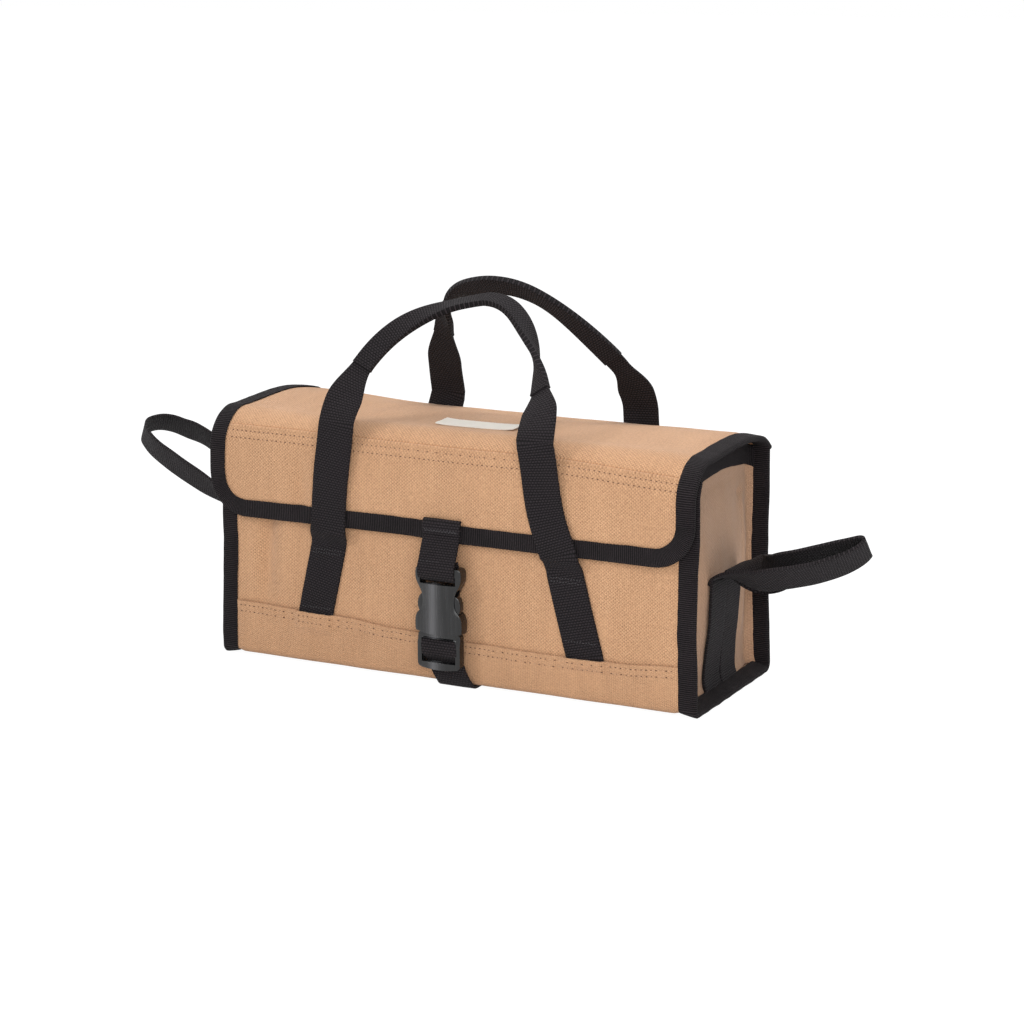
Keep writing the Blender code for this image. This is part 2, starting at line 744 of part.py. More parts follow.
def make_end_loop(name, side, rise, roll, group, parent):
    offset = WEBBING_WIDTH / 2 + LOOP_LEG_GAP / 2
    for leg, hand in (("front", -1), ("back", 1)):
        y = CASE_Y + hand * offset
        half = WEBBING_WIDTH / 2

        def place(u, v, y=y, half=half):
            across = y + (2 * v - 1) * half
            z = LOOP_SEWN_BOTTOM + (LOOP_SEWN_TOP - LOOP_SEWN_BOTTOM) * u
            return loop_surface(side, across, z)

        node = "end_loop_" + leg + "_leg_" + name
        sheet(node, ARC_STEPS, 2, place, WEBBING, STRAP, group)

    root_z = LOOP_SEWN_TOP + WEBBING / 2 + FIT
    root_x = abs(loop_hinge(side).x)
    length = LOOP_REACH - WEBBING / 2 - root_x
    points = []
    for step in range(LOOP_STEPS + 1):
        share = step / LOOP_STEPS
        turn = (share - 1 / 2) * math.pi
        out = length * math.cos(turn) ** LOOP_POWER if abs(share - 1 / 2) < 1 / 2 else 0
        swell = LOOP_HALF_WIDTH - offset
        across = math.sin(turn)
        middle = math.sin(2 * math.pi * abs(share - 1 / 2)) * swell
        lateral = offset * across + math.copysign(middle, across)
        outward = out / length
        bank = roll * smooth_step(outward * 2)
        lift = rise * outward + lateral * math.sin(bank)
        y = CASE_Y + lateral * math.cos(bank)
        points.append(Vector((side * (root_x + out), y, root_z + lift)))
    stations = []
    for step, point in enumerate(points):
        share = step / LOOP_STEPS
        before = points[max(step - 1, 0)]
        after = points[min(step + 1, LOOP_STEPS)]
        forward = (after - before).normalized()
        outward = abs(point.x) - root_x
        upright = smooth_step(outward / length * 2)
        bank = roll * upright
        lean = LOOP_LEAN * math.copysign(1, share - 1 / 2) * (1 - smooth_step(outward / length))
        flat = Vector((0, 1, 0))
        tall = Vector((0, -math.sin(bank + lean), math.cos(bank + lean)))
        hand = 1 if share <= 1 / 2 else -1
        half = flat * (hand * (1 - upright)) + tall * upright
        half = (half - forward * half.dot(forward)).normalized() * (WEBBING_WIDTH / 2)
        if stations and half.dot(stations[-1][1]) < 0:
            half = -half
        stations.append((point, half))
    webbing("end_loop_" + name, stations, WEBBING, STRAP, group, parent)


def mirrored(outline):
    """A right-hand outline from top to bottom, closed by its mirror image."""
    return outline + [(-x, z) for x, z in reversed(outline) if x]


def make_socket(group, cutters, parent):
    wide = BUCKLE_WIDTH / 2
    shoulder = SOCKET_SHOULDER / 2
    waist = SOCKET_WAIST / 2
    outline = mirrored(
        [
            (shoulder, BUCKLE_TOP),
            (wide, BUCKLE_TOP - RAIL),
            (wide, SLOT_LOW + RAIL),
            (shoulder, SOCKET_ROOF),
            (waist, WINDOW_HIGH),
            (waist, WINDOW_LOW + RAIL),
            (wide, WINDOW_LOW - RAIL / 2),
            (wide, SOCKET_MOUTH),
        ]
    )
    socket = plate("buckle_socket", outline, BUCKLE_Y, BUCKLE_DEPTH, PLASTIC, group, parent)
    soften(socket, SOCKET_ROUND)
    inner = wide - SOCKET_WALL
    slot = (WEBBING_WIDTH + SLOT_PLAY) / 2
    half = BUCKLE_DEPTH / 2
    cavity_half = half - SOCKET_WALL
    cuts = {
        "socket_cavity": (
            (-inner, BUCKLE_Y - cavity_half, SOCKET_MOUTH - OVERRUN),
            (inner, BUCKLE_Y + cavity_half, SOCKET_ROOF - SOCKET_WALL),
        ),
        "socket_slot": (
            (-slot, BUCKLE_Y - half - OVERRUN, SLOT_LOW),
            (slot, BUCKLE_Y + half + OVERRUN, BUCKLE_TOP + OVERRUN),
        ),
    }
    for name, (low, high) in cuts.items():
        combine(socket, block(name, low, high, None, cutters), "DIFFERENCE")
    bar = block(
        "socket_bar",
        (-slot - SOCKET_WALL, BUCKLE_Y - BAR_DEPTH / 2, BAR_LOW),
        (slot + SOCKET_WALL, BUCKLE_Y + BAR_DEPTH / 2, BAR_HIGH),
        None,
        cutters,
    )
    combine(socket, bar, "UNION")


def make_plug(group, cutters, parent, arm_parents):
    wide = BUCKLE_WIDTH / 2
    top = SOCKET_MOUTH - FIT
    outline = mirrored(
        [
            (wide, top),
            (wide - FIT, BUCKLE_BOTTOM + RAIL / 2),
            (wide - RAIL, BUCKLE_BOTTOM),
        ]
    )
    plug = plate("buckle_plug", outline, BUCKLE_Y, PLUG_DEPTH, PLASTIC, group, parent)
    window = block(
        "plug_window",
        (-wide + RAIL, BUCKLE_Y - PLUG_DEPTH, BUCKLE_BOTTOM + PLUG_BAR),
        (wide - RAIL, BUCKLE_Y + PLUG_DEPTH, top - PLUG_FLANGE),
        None,
        cutters,
    )
    combine(plug, window, "DIFFERENCE")

    inner = wide - SOCKET_WALL - FIT
    for name, side in (("left", -1), ("right", 1)):
        root = ARM_ROOT_X
        outline = [
            (root - ARM_WIDTH / 2, SOCKET_MOUTH + FIT),
            (root + ARM_WIDTH / 2, SOCKET_MOUTH + FIT),
            (root + ARM_WIDTH, WINDOW_LOW - ARM_WIDTH),
            (inner, WINDOW_LOW + FIT),
            (PAD_OUT, WINDOW_LOW + ARM_WIDTH),
            (PAD_OUT, WINDOW_HIGH - ARM_WIDTH),
            (inner - ARM_WIDTH, ARM_TOP),
            (root - ARM_WIDTH / 2, ARM_TOP),
            (root, WINDOW_LOW),
        ]
        points = [(side * x, z) for x, z in outline]
        node = "plug_arm_" + name
        plate(node, points, BUCKLE_Y, ARM_DEPTH, PLASTIC, group, arm_parents[name])


def strap_run(name, run, width, group, parent=None):
    half = Vector((width / 2, 0, 0))
    stations = [(Vector((0, y, z)), half) for y, z in run]
    webbing(name, stations, WEBBING, STRAP, group, parent)


def make_buckle_straps(group, flap_parent):
    sewn_y = FLAP_OUTER - FIT - WEBBING / 2
    radius = BAR_DEPTH / 2 + FIT + WEBBING / 2
    run = [(sewn_y, STRAP_TOP), (sewn_y, STRAP_JOIN), (BUCKLE_Y - radius, BAR_HIGH)]
    for step in range(ARC_STEPS + 1):
        angle = math.pi * (1 + step / ARC_STEPS)
        run.append((BUCKLE_Y + radius * math.cos(angle), BAR_LOW + radius * math.sin(angle)))
    run.append((BUCKLE_Y + radius, BAR_HIGH + BAR_DEPTH))
    strap_run("upper_strap", run, WEBBING_WIDTH, group, flap_parent)

    floor_z = STRAP_FLOOR_GAP + WEBBING / 2
    face_y = FRONT - HEM_OUTER - FIT - WEBBING / 2
    wrap = WEBBING
    run = [(face_y + STRAP_TAIL, floor_z), (face_y + wrap, floor_z)]
    for step in range(1, TAPE_ARC_STEPS + 1):
        angle = step / TAPE_ARC_STEPS * math.pi / 2
        run.append((face_y + wrap - wrap * math.sin(angle), floor_z + wrap * (1 - math.cos(angle))))
    behind_bar = BUCKLE_Y + PLUG_DEPTH / 2 + FIT + WEBBING / 2
    run.append((behind_bar, BUCKLE_BOTTOM - PLUG_BAR))
    run.append((behind_bar, BUCKLE_BOTTOM + PLUG_BAR + WEBBING))
    inside_top = SOCKET_MOUTH - FIT - PLUG_FLANGE - FIT - WEBBING / 2
    run.append((BUCKLE_Y, inside_top))
    strap_run("lower_strap", run, WEBBING_WIDTH, group)


def main():
    clear_scene()
    group = new_collection("storage_bag")
    cutters = new_collection("cutters")
    make_panels(group, cutters)
    make_ends(group)
    make_bindings(group)

    lid = pivot("lid_hinge", LID_HINGE, group)
    make_lid(group, lid)
    flap = pivot("flap_fold", FLAP_HINGE, group, lid)
    make_flap(group, flap)

    plug = pivot("plug_slide", Vector((0, BUCKLE_Y, SOCKET_MOUTH)), group)
    arms = {}
    for name, side in (("left", -1), ("right", 1)):
        place = Vector((side * ARM_ROOT_X, BUCKLE_Y, ARM_HINGE_Z))
        arms[name] = pivot("arm_" + name + "_squeeze", place, group, plug)
    make_socket(group, cutters, flap)
    make_plug(group, cutters, plug, arms)
    make_buckle_straps(group, flap)

    swing = pivot("front_handle_swing", FRONT_HANDLE_HINGE, group)
    fold = pivot("front_grip_fold", FRONT_HANDLE.neck(), group, swing)
    make_handle("front", FRONT_HANDLE, group, swing, fold)
    swing = pivot("back_handle_swing", BACK_HANDLE_HINGE, group)
    fold = pivot("back_grip_fold", BACK_HANDLE.neck(), group, swing)
    make_handle("back", BACK_HANDLE, group, swing, fold)

    loops = (("left", -1, LEFT_LOOP_RISE, LEFT_LOOP_ROLL), ("right", 1, RIGHT_LOOP_RISE, RIGHT_LOOP_ROLL))
    for name, side, rise, roll in loops:
        hinge = pivot("end_loop_" + name + "_swing", loop_hinge(side), group)
        make_end_loop(name, side, rise, roll, group, hinge)


main()
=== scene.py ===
import math

import bmesh
import bpy
from mathutils import Matrix, Vector, noise


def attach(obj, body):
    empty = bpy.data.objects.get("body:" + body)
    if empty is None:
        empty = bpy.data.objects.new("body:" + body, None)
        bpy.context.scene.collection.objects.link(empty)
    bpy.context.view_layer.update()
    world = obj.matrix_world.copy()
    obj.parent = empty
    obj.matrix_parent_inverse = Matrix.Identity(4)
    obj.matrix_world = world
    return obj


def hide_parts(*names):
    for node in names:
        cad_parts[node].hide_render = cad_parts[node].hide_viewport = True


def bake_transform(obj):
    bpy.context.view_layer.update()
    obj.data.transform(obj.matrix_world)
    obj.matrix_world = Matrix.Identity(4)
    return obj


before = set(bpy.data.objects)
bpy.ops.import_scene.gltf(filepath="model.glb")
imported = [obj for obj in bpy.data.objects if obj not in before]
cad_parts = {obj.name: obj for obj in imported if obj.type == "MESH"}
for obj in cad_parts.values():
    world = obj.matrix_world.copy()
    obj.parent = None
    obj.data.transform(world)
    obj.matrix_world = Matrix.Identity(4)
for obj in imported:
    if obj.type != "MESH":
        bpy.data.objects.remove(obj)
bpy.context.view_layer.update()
bpy.ops.object.select_all(action="DESELECT")

MM = 0.001
SIDES = (("left", -1), ("right", 1))
DOWN = Vector((0, 0, -1))
TO_FRONT = Vector((0, -1, 0))

# Places taken over from the model, in metres. MID is the middle of a cloth's thickness.
CASE_Y = 5.85 * MM
FRONT = -54.15 * MM
BACK = 65.85 * MM
FRONT_MID = -53.15 * MM
BACK_MID = 64.85 * MM
CLOTH_X = 168.9 * MM
END_X = 156.7 * MM
END_MID = 155.7 * MM
FLAP_Y = -58.35 * MM
FLAP_LOW = 96.1 * MM
FLAP_CORNER = 25.5 * MM
MOUTH_TOP = 149.5 * MM
BACK_TOP = 155.7 * MM
TAPE_HALF = 2.1 * MM
WEB = 25 * MM
BUCKLE_Y = -63.15 * MM

CANVAS_THICK = 1.6 * MM
STRAP_THICK = 1.8 * MM
BUCKLE_STRAP_THICK = 1.7 * MM
TAPE_THICK = 0.7 * MM


# Shared ways of making things
def mm(*sizes):
    return tuple(size * MM for size in sizes)


def wander(x, y, z):
    """Smooth noise at a spot, between about -1 and 1."""
    return noise.noise(Vector((x, y, z)))


def spaced(low, high, steps):
    """Evenly spaced values from low to high."""
    return [low + (high - low) * step / steps for step in range(steps + 1)]


def places_across(steps, half):
    """Places from -half to half, which is given in mm."""
    return [(2 * step / steps - 1) * half * MM for step in range(steps + 1)]


def smooth_step(share):
    share = min(max(share, 0), 1)
    return share * share * (3 - 2 * share)


def between(value, *pairs, ease=lambda share: share):
    """The size at a place, in straight lines through the given (place, size) pairs unless it eases in and out."""
    if value <= pairs[0][0]:
        return pairs[0][1]
    for (low, first), (high, second) in zip(pairs, pairs[1:]):
        if value <= high:
            return first + (second - first) * ease((value - low) / (high - low))
    return pairs[-1][1]


def smooth_between(value, *pairs):
    return between(value, *pairs, ease=smooth_step)


def eased(value, *pairs):
    """As smooth_between, with places and sizes in mm."""
    return smooth_between(value, *((place * MM, size * MM) for place, size in pairs))


def faded(value, *pairs):
    """As smooth_between, with places in mm and sizes as they are."""
    return smooth_between(value, *((place * MM, size) for place, size in pairs))


def dent(x, centre, width):
    return math.exp(-((x - centre) / width) ** 2)


def use_only(piece):
    bpy.ops.object.select_all(action="DESELECT")
    piece.select_set(True)
    bpy.context.view_layer.objects.active = piece


def finish_piece(piece, body=None, stands_for=(), smooth=40):
    use_only(piece)
    bpy.ops.object.shade_smooth_by_angle(angle=math.radians(smooth))
    if body:
        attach(piece, body)
    if stands_for:
        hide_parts(*stands_for)
    piece.select_set(False)


def apply_modifiers(piece):
    use_only(piece)
    for modifier in list(piece.modifiers):
        bpy.ops.object.modifier_apply(modifier=modifier.name)


def bevel(piece, title, width, segments, angle):
    edge = piece.modifiers.new(title, "BEVEL")
    edge.width = width
    edge.segments = segments
    edge.limit_method = "ANGLE"
    edge.angle_limit = math.radians(angle)


def add_piece(name, mesh, material):
    piece = bpy.data.objects.new(name, mesh)
    bpy.context.scene.collection.objects.link(piece)
    mesh.materials.append(material)
    return piece


def cloth(name, columns, rows, place, thickness, material, measure, round_edge=0.0):
    """A woven sheet. place(i, j) gives each grid point, measure(i, j) its run and rise along the cloth."""
    grid = bmesh.new()
    bmesh.ops.create_grid(grid, x_segments=columns, y_segments=rows, size=1)
    grid.verts.ensure_lookup_table()
    layer = grid.loops.layers.uv.new("cloth")
    spots = {}
    for vertex in grid.verts:
        i = round((vertex.co.x + 1) / 2 * columns)
        j = round((vertex.co.y + 1) / 2 * rows)
        spots[vertex.index] = (i, j)
        vertex.co = place(i, j)
    for face in grid.faces:
        for loop in face.loops:
            i, j = spots[loop.vert.index]
            loop[layer].uv = measure(i, j) if measure else (loop.vert.co.x, loop.vert.co.z)
    mesh = bpy.data.meshes.new(name)
    grid.to_mesh(mesh)
    grid.free()
    piece = add_piece(name, mesh, material)
    wall = piece.modifiers.new("Cloth thickness", "SOLIDIFY")
    wall.thickness = thickness
    wall.offset = 0
    wall.use_even_offset = True
    if round_edge:
        bevel(piece, "Soft edge", round_edge, 2, 50)
    apply_modifiers(piece)
    return piece


def run_lengths(points):
    total = [0.0]
    for before, after in zip(points, points[1:]):
        total.append(total[-1] + (after - before).length)
    return total


def smooth_path(points, steps):
    """Catmull-Rom curve through the points, with the given steps between each pair."""
    full = [points[0] * 2 - points[1]] + list(points) + [points[-1] * 2 - points[-2]]
    out = []
    for k in range(1, len(full) - 2):
        a, b, c, d = full[k - 1], full[k], full[k + 1], full[k + 2]
        for t in spaced(0, 1, steps)[:-1]:
            out.append(
                0.5 * (2 * b + (c - a) * t + (2 * a - 5 * b + 4 * c - d) * t * t + (3 * b - a - 3 * c + d) * t ** 3)
            )
    out.append(full[-2])
    return out


def webbing(name, stations, thickness, across=8, start=0.0, wave=0.0):
    """Heavy webbing. Each station is its middle and the vector from there to one edge."""
    lengths = run_lengths([centre for centre, _ in stations])

    def place(i, j):
        centre, half = stations[i]
        share = 2 * j / across - 1
        lift = Vector((0, 0, 0))
        if wave and 0 < i < len(stations) - 1:
            forward = (stations[i + 1][0] - stations[i - 1][0]).normalized()
            out = forward.cross(half).normalized()
            lift = out * wave * wander(*(centre * 70 + half * share * 60))
        return centre + half * share + lift

    def measure(i, j):
        return (start + lengths[i], (2 * j / across - 1) * stations[i][1].length)

    return cloth(name, len(stations) - 1, across, place, thickness, strap_cloth, measure, 0.45 * MM)


def tape_profile(depth, half):
    """Cross-section of a folded tape: run into the cloth and rise off it, from one edge round to the other."""
    points = [(depth, half * 0.86), (depth * 0.8, half), (depth * 0.5, half + 0.12 * MM), (half * 1.4, half)]
    for angle in spaced(math.pi / 2, math.pi * 1.5, 6)[1:-1]:
        points.append((half * (1 + math.cos(angle)), half * math.sin(angle)))
    points += [(x, -y) for x, y in reversed(points[:4])]
    return points


def bound_edge(name, stations, depth=11.4 * MM, ripple=0.25 * MM, seed=0.0):
    """Tape folded over a cloth edge. A station is the tape's outer edge, the way in and the cloth's normal."""

    def on_plane(station, run):
        point, inward, normal = station
        return point + inward * run, normal

    return folded_tape(name, stations, on_plane, depth, ripple, seed)


def folded_tape(name, stations, spot, depth, ripple, seed):
    """Tape folded over an edge. spot(station, run) gives the cloth's point and normal that far in from its edge."""
    profile = tape_profile(depth, 1.7 * MM)
    lengths = run_lengths([spot(station, 0.0)[0] for station in stations])
    rim = run_lengths([Vector((x, y, 0)) for x, y in profile])
    middle = rim[-1] / 2
    last = len(profile) - 1

    def place(i, j):
        run, rise = profile[j]
        side = 1 if j <= last / 2 else -1
        edge = max(abs(j - last / 2) / (last / 2) - 0.3, 0)
        wobble = wander(lengths[i] * 90, side * 3.1 + seed, seed)
        slow = wander(lengths[i] * 28, side * 5.1 + seed, seed + 4)
        run += ripple * edge * (1.6 * wobble + 2.2 * slow)
        rise += side * ripple * (0.8 * wander(lengths[i] * 140, side * 7.3 + seed, 2.0) + 0.8 * slow)
        point, normal = spot(stations[i], run)
        return point + normal * rise

    def measure(i, j):
        return (lengths[i], rim[j] - middle)

    return cloth(name, len(stations) - 1, last, place, TAPE_THICK, tape, measure)


def stitch_row(name, points, normals, material, pitch, length, thick, slant=0.0):
    """A row of sewn thread: one stitch modelled once, then set along the line."""
    lengths = run_lengths(points)
    count = max(int(lengths[-1] / pitch), 1)
    thread = bmesh.new()
    bmesh.ops.create_icosphere(thread, subdivisions=1, radius=1)
    shape = [vertex.co.copy() for vertex in thread.verts]
    rings = [[vertex.index for vertex in face.verts] for face in thread.faces]
    thread.free()
    vertices, faces = [], []
    k = 0
    for n in range(count):
        target = (n + 0.5) * lengths[-1] / count
        while lengths[k + 1] < target and k < len(points) - 2:
            k += 1
        part = (target - lengths[k]) / (lengths[k + 1] - lengths[k])
        centre = points[k].lerp(points[k + 1], part)
        forward = (points[k + 1] - points[k]).normalized()
        up = normals[k].lerp(normals[k + 1], part).normalized()
        side = up.cross(forward).normalized()
        turned = forward * math.cos(slant) + side * math.sin(slant)
        cross = up.cross(turned)
        base = len(vertices)
        for spot in shape:
            vertices.append(
                centre + turned * (spot.x * length / 2) + cross * (spot.y * thick / 2) + up * (spot.z * thick / 2)
            )
        faces += [[base + index for index in ring] for ring in rings]
    mesh = bpy.data.meshes.new(name)
    mesh.from_pydata(vertices, [], faces)
    return add_piece(name, mesh, material)


def sewn_row(name, points, normals, body, pitch=3.4 * MM):
    """A row of lockstitch: long threads with a dark dash between each pair, painted shade where the thread sinks into
    the cloth.
    """
    threads = stitch_row(name, points, normals, tan_thread, pitch, pitch * 0.62, 0.6 * MM)
    finish_piece(threads, body, ())
    lengths = run_lengths(points)
    count = max(int(lengths[-1] / pitch), 1)
    skip = pitch * 0.5 * lengths[-1] / (count * pitch)
    shifted = []
    for k, point in enumerate(points):
        along = points[min(k + 1, len(points) - 1)] - points[max(k - 1, 0)]
        shifted.append(point + along.normalized() * skip)
    # Dark dashes between the threads are painted shade where the stitches sink into the cloth.
    shade_dashes = stitch_row(name + "_holes", shifted, normals, sunk_stitch_shade, pitch, 1.5 * MM, 0.7 * MM)
    finish_piece(shade_dashes, body, ())
    return threads, shade_dashes


# Materials
class Look:
    """The nodes of a material or of the world while they are put together."""

    def __init__(self, owner):
        owner.use_nodes = True
        self.owner = owner
        self.nodes, self.links = owner.node_tree.nodes, owner.node_tree.links
        self.shader = self.nodes.get("Principled BSDF")

    def put(self, socket, value):
        if isinstance(value, (int, float, tuple)):
            socket.default_value = value
        else:
            self.links.new(value, socket)

    def surface(self, **values):
        """Sets or links the shader's inputs, an underscore standing for a space."""
        for name, value in values.items():
            self.put(self.shader.inputs[name.replace("_", " ")], value)
        return self.owner

    def where(self):
        return self.nodes.new("ShaderNodeTexCoord").outputs["Object"]

    def cloth_run(self):
        """Run and rise along the cloth, in metres, and the two as a vector."""
        uv = self.nodes.new("ShaderNodeUVMap")
        uv.uv_map = "cloth"
        run, rise, _ = self.parted(uv.outputs["UV"])
        return run, rise, uv.outputs["UV"]

    def parted(self, vector):
        split = self.nodes.new("ShaderNodeSeparateXYZ")
        self.put(split.inputs[0], vector)
        return split.outputs

    def maths(self, operation, *values):
        node = self.nodes.new("ShaderNodeMath")
        node.operation = operation
        for socket, value in zip(node.inputs, values):
            self.put(socket, value)
        return node.outputs[0]

    def plus(self, first, second):
        return self.maths("ADD", first, second)

    def times(self, first, second):
        return self.maths("MULTIPLY", first, second)

    def scaled(self, value, by, added):
        return self.maths("MULTIPLY_ADD", value, by, added)

    def wave(self, value, period):
        return self.maths("SINE", self.times(value, math.tau / period))

    def grain(self, vector, scale, detail=3.0, rough=0.55):
        """Fine noise. Three scales stretch it along the axes."""
        if isinstance(scale, tuple):
            stretch = self.nodes.new("ShaderNodeMapping")
            self.put(stretch.inputs["Scale"], scale)
            self.put(stretch.inputs["Vector"], vector)
            vector, scale = stretch.outputs["Vector"], 1.0
        node = self.nodes.new("ShaderNodeTexNoise")
        for name, value in (("Vector", vector), ("Scale", scale), ("Detail", detail), ("Roughness", rough)):
            self.put(node.inputs[name], value)
        return node.outputs["Fac"]

    def two_tone(self, value, dark, light, low=None, high=None):
        """Colour from dark to light as value goes from low to high."""
        if low is not None:
            ramp = self.nodes.new("ShaderNodeMapRange")
            for name, end in (("Value", value), ("From Min", low), ("From Max", high)):
                self.put(ramp.inputs[name], end)
            value = ramp.outputs["Result"]
        node = self.nodes.new("ShaderNodeMix")
        node.data_type = "RGBA"
        self.put(node.inputs["Factor"], value)
        ends = [socket for socket in node.inputs if socket.type == "RGBA"]
        for socket, colour in zip(ends, (dark, light)):
            socket.default_value = (*colour, 1)
        return [socket for socket in node.outputs if socket.type == "RGBA"][0]

    def relief(self, height, distance, strength):
        node = self.nodes.new("ShaderNodeBump")
        for name, value in (("Height", height), ("Distance", distance), ("Strength", strength)):
            self.put(node.inputs[name], value)
        self.put(self.shader.inputs["Normal"], node.outputs["Normal"])

    def seen_directly(self):
        """1 where the camera, a reflection or a view through something meets it, 0 for its light on the bag."""
        path = self.nodes.new("ShaderNodeLightPath")
        straight = self.plus(path.outputs["Is Camera Ray"], path.outputs["Is Glossy Ray"])
        straight = self.plus(straight, path.outputs["Is Transmission Ray"])
        return self.maths("MINIMUM", straight, 1.0)


def new_look(name):
    return Look(bpy.data.materials.new(name))


def canvas_material(name, light, dark, rib=1.2 * MM, pick=1.05 * MM, contrast=1.0):
    """Heavy cotton duck: ribs up the cloth, crossed by picks, with slubs and soft uneven dye."""
    look = new_look(name)
    run, rise, uv = look.cloth_run()
    where = look.where()
    run_drift = look.scaled(look.grain(where, 190, 2), 0.7 * MM, run)
    crossing = look.times(look.wave(run_drift, 2 * rib), look.wave(rise, 2 * pick))
    weave = look.scaled(crossing, 0.8, look.times(look.wave(run_drift, rib), 0.35))
    weave = look.times(weave, look.scaled(look.grain(where, 60, 2, 0.6), 1.5, 0.3))
    slub = look.plus(look.grain(uv, (950, 330, 1), 2, 0.7), look.grain(uv, (400, 800, 1), 2, 0.7))
    look.relief(look.scaled(slub, 1.6, weave), 0.13 * MM, 1.0)
    cloud = look.grain(where, 16, 4, 0.6)
    tone = look.scaled(cloud, 0.5, look.times(look.grain(uv, (110, 10, 1), 4, 0.6), 0.5))
    tone = look.scaled(slub, contrast, tone)
    tone = look.scaled(weave, 0.5 * contrast, tone)
    middle, spread = 0.5 + contrast, 0.95
    return look.surface(
        Base_Color=look.two_tone(tone, dark, light, middle - spread, middle + spread),
        Roughness=look.scaled(cloud, 0.12, 0.82), Sheen_Weight=0.18, Sheen_Roughness=0.5, Specular_IOR_Level=0.25,
    )


def tape_material(name, light, dark, rib=1.3 * MM, pick=0.9 * MM):
    """Ribbed binding tape, its ribs across the tape, dusty along the tops."""
    look = new_look(name)
    run, rise, _ = look.cloth_run()
    where = look.where()
    weave = look.scaled(look.wave(rise, pick), 0.25, look.wave(run, rib))
    lint = look.grain(where, 1500, 3, 0.7)
    look.relief(look.scaled(lint, 0.8, weave), 0.30 * MM, 0.9)
    cloud = look.grain(where, 45, 4, 0.6)
    tone = look.scaled(weave, 0.38, look.times(lint, 0.6))
    tone = look.scaled(cloud, 0.5, tone)
    return look.surface(
        Base_Color=look.two_tone(tone, dark, light, 0.25, 1.05),
        Roughness=look.scaled(cloud, 0.12, 0.8), Sheen_Weight=0.03, Sheen_Roughness=0.4, Specular_IOR_Level=0.12,
    )


def webbing_material(name, light, dark, row=1.65 * MM, bump=2.1 * MM):
    """Heavy webbing: staggered rows of rounded bumps across its width."""
    look = new_look(name)
    run, rise, _ = look.cloth_run()
    where = look.where()
    rows = look.maths("DIVIDE", run, row)
    row_number = look.maths("FLOOR", rows)
    odd = look.maths("MODULO", row_number, 2.0)
    hump = look.maths("SINE", look.times(look.maths("SUBTRACT", rows, row_number), math.pi))
    beside = look.scaled(odd, 0.5, look.maths("DIVIDE", rise, bump))
    bead = look.maths("SINE", look.times(beside, math.tau))
    bead = look.maths("POWER", look.scaled(bead, 0.5, 0.5), 0.6)
    knots = look.times(hump, look.scaled(bead, 0.75, 0.25))
    lint = look.grain(where, 1400, 3, 0.7)
    look.relief(look.scaled(lint, 0.45, knots), 0.5 * MM, 0.9)
    cloud = look.grain(where, 40, 4, 0.6)
    tone = look.scaled(knots, 0.75, look.times(lint, 0.4))
    tone = look.scaled(cloud, 0.2, tone)
    return look.surface(
        Base_Color=look.two_tone(tone, dark, light, 0.32, 1.0),
        Roughness=look.scaled(cloud, 0.12, 0.74), Sheen_Weight=0.03, Sheen_Roughness=0.4, Specular_IOR_Level=0.15,
    )


def moulded_material(name, light, dark, rough):
    """Moulded plastic: drawn lines down its length whose colour also paints streaky highlights, a painted highlight as
    a light band down the middle, and a spark finish.
    """
    look = new_look(name)
    where = look.where()
    drawn = look.grain(where, (800, 800, 25), 3, 0.7)
    # Painted highlight: a light band down the middle of the face, put into the colour where a lamp's reflection would
    # lie.
    beside = look.scaled(look.parted(where)["X"], 1 / (4.6 * MM), 0.55)
    spread = look.scaled(look.times(beside, beside), 1.0, 1.0)
    highlight_band = look.maths("DIVIDE", 1.0, look.times(spread, spread))
    painted_highlight = look.scaled(look.grain(where, (160, 160, 30), 2, 0.5), 0.3, highlight_band)
    look.relief(look.scaled(drawn, 1.4, look.grain(where, 2600, 2, 0.6)), 0.05 * MM, 0.6)
    # The colour is the drawn streaks, partly painted highlight, and the painted highlight band.
    tone = look.scaled(drawn, 0.3, look.times(painted_highlight, 0.75))
    return look.surface(
        Base_Color=look.two_tone(tone, dark, light, 0.25, 1.25), Roughness=look.scaled(drawn, 0.2, rough - 0.08),
    )


def thread_material(name, colour, lighter):
    look = new_look(name)
    twist = look.grain(look.where(), (3000, 3000, 1500), 2)
    look.relief(twist, 0.08 * MM, 0.6)
    return look.surface(Base_Color=look.two_tone(twist, colour, lighter), Roughness=0.75)


canvas = canvas_material("tan_canvas", (0.78, 0.460, 0.262), (0.300, 0.152, 0.076))
# A darker, greyer copy of the canvas with a flatter texture, for the ends: painted shade of the sides turned from the
# light.
end_canvas_painted_shade = canvas_material("end_canvas_painted_shade", (0.62, 0.385, 0.245), (0.37, 0.205, 0.122), contrast=0.6)
tape = tape_material("ribbed_tape", (0.040, 0.032, 0.035), (0.0024, 0.0019, 0.0021))
strap_cloth = webbing_material("heavy_webbing", (0.032, 0.026, 0.029), (0.0016, 0.0013, 0.0015))
plastic = moulded_material("buckle_plastic", (0.115, 0.115, 0.122), (0.0015, 0.0015, 0.002), 0.24)
stiffener = moulded_material("board_plastic", (0.12, 0.12, 0.12), (0.08, 0.08, 0.085), 0.5)
tan_thread = thread_material("tan_thread", (0.52, 0.31, 0.185), (0.66, 0.41, 0.25))
# Dark brown for the dashes between stitches: painted shade of the sunken thread.
sunk_stitch_shade = thread_material("sunk_stitch_shade", (0.075, 0.032, 0.015), (0.13, 0.058, 0.028))
black_thread = thread_material("black_thread", (0.02, 0.018, 0.02), (0.07, 0.065, 0.07))
label_cloth = canvas_material("label_cotton", (0.97, 0.93, 0.86), (0.80, 0.73, 0.64), 0.8 * MM, 0.6 * MM, 0.5)


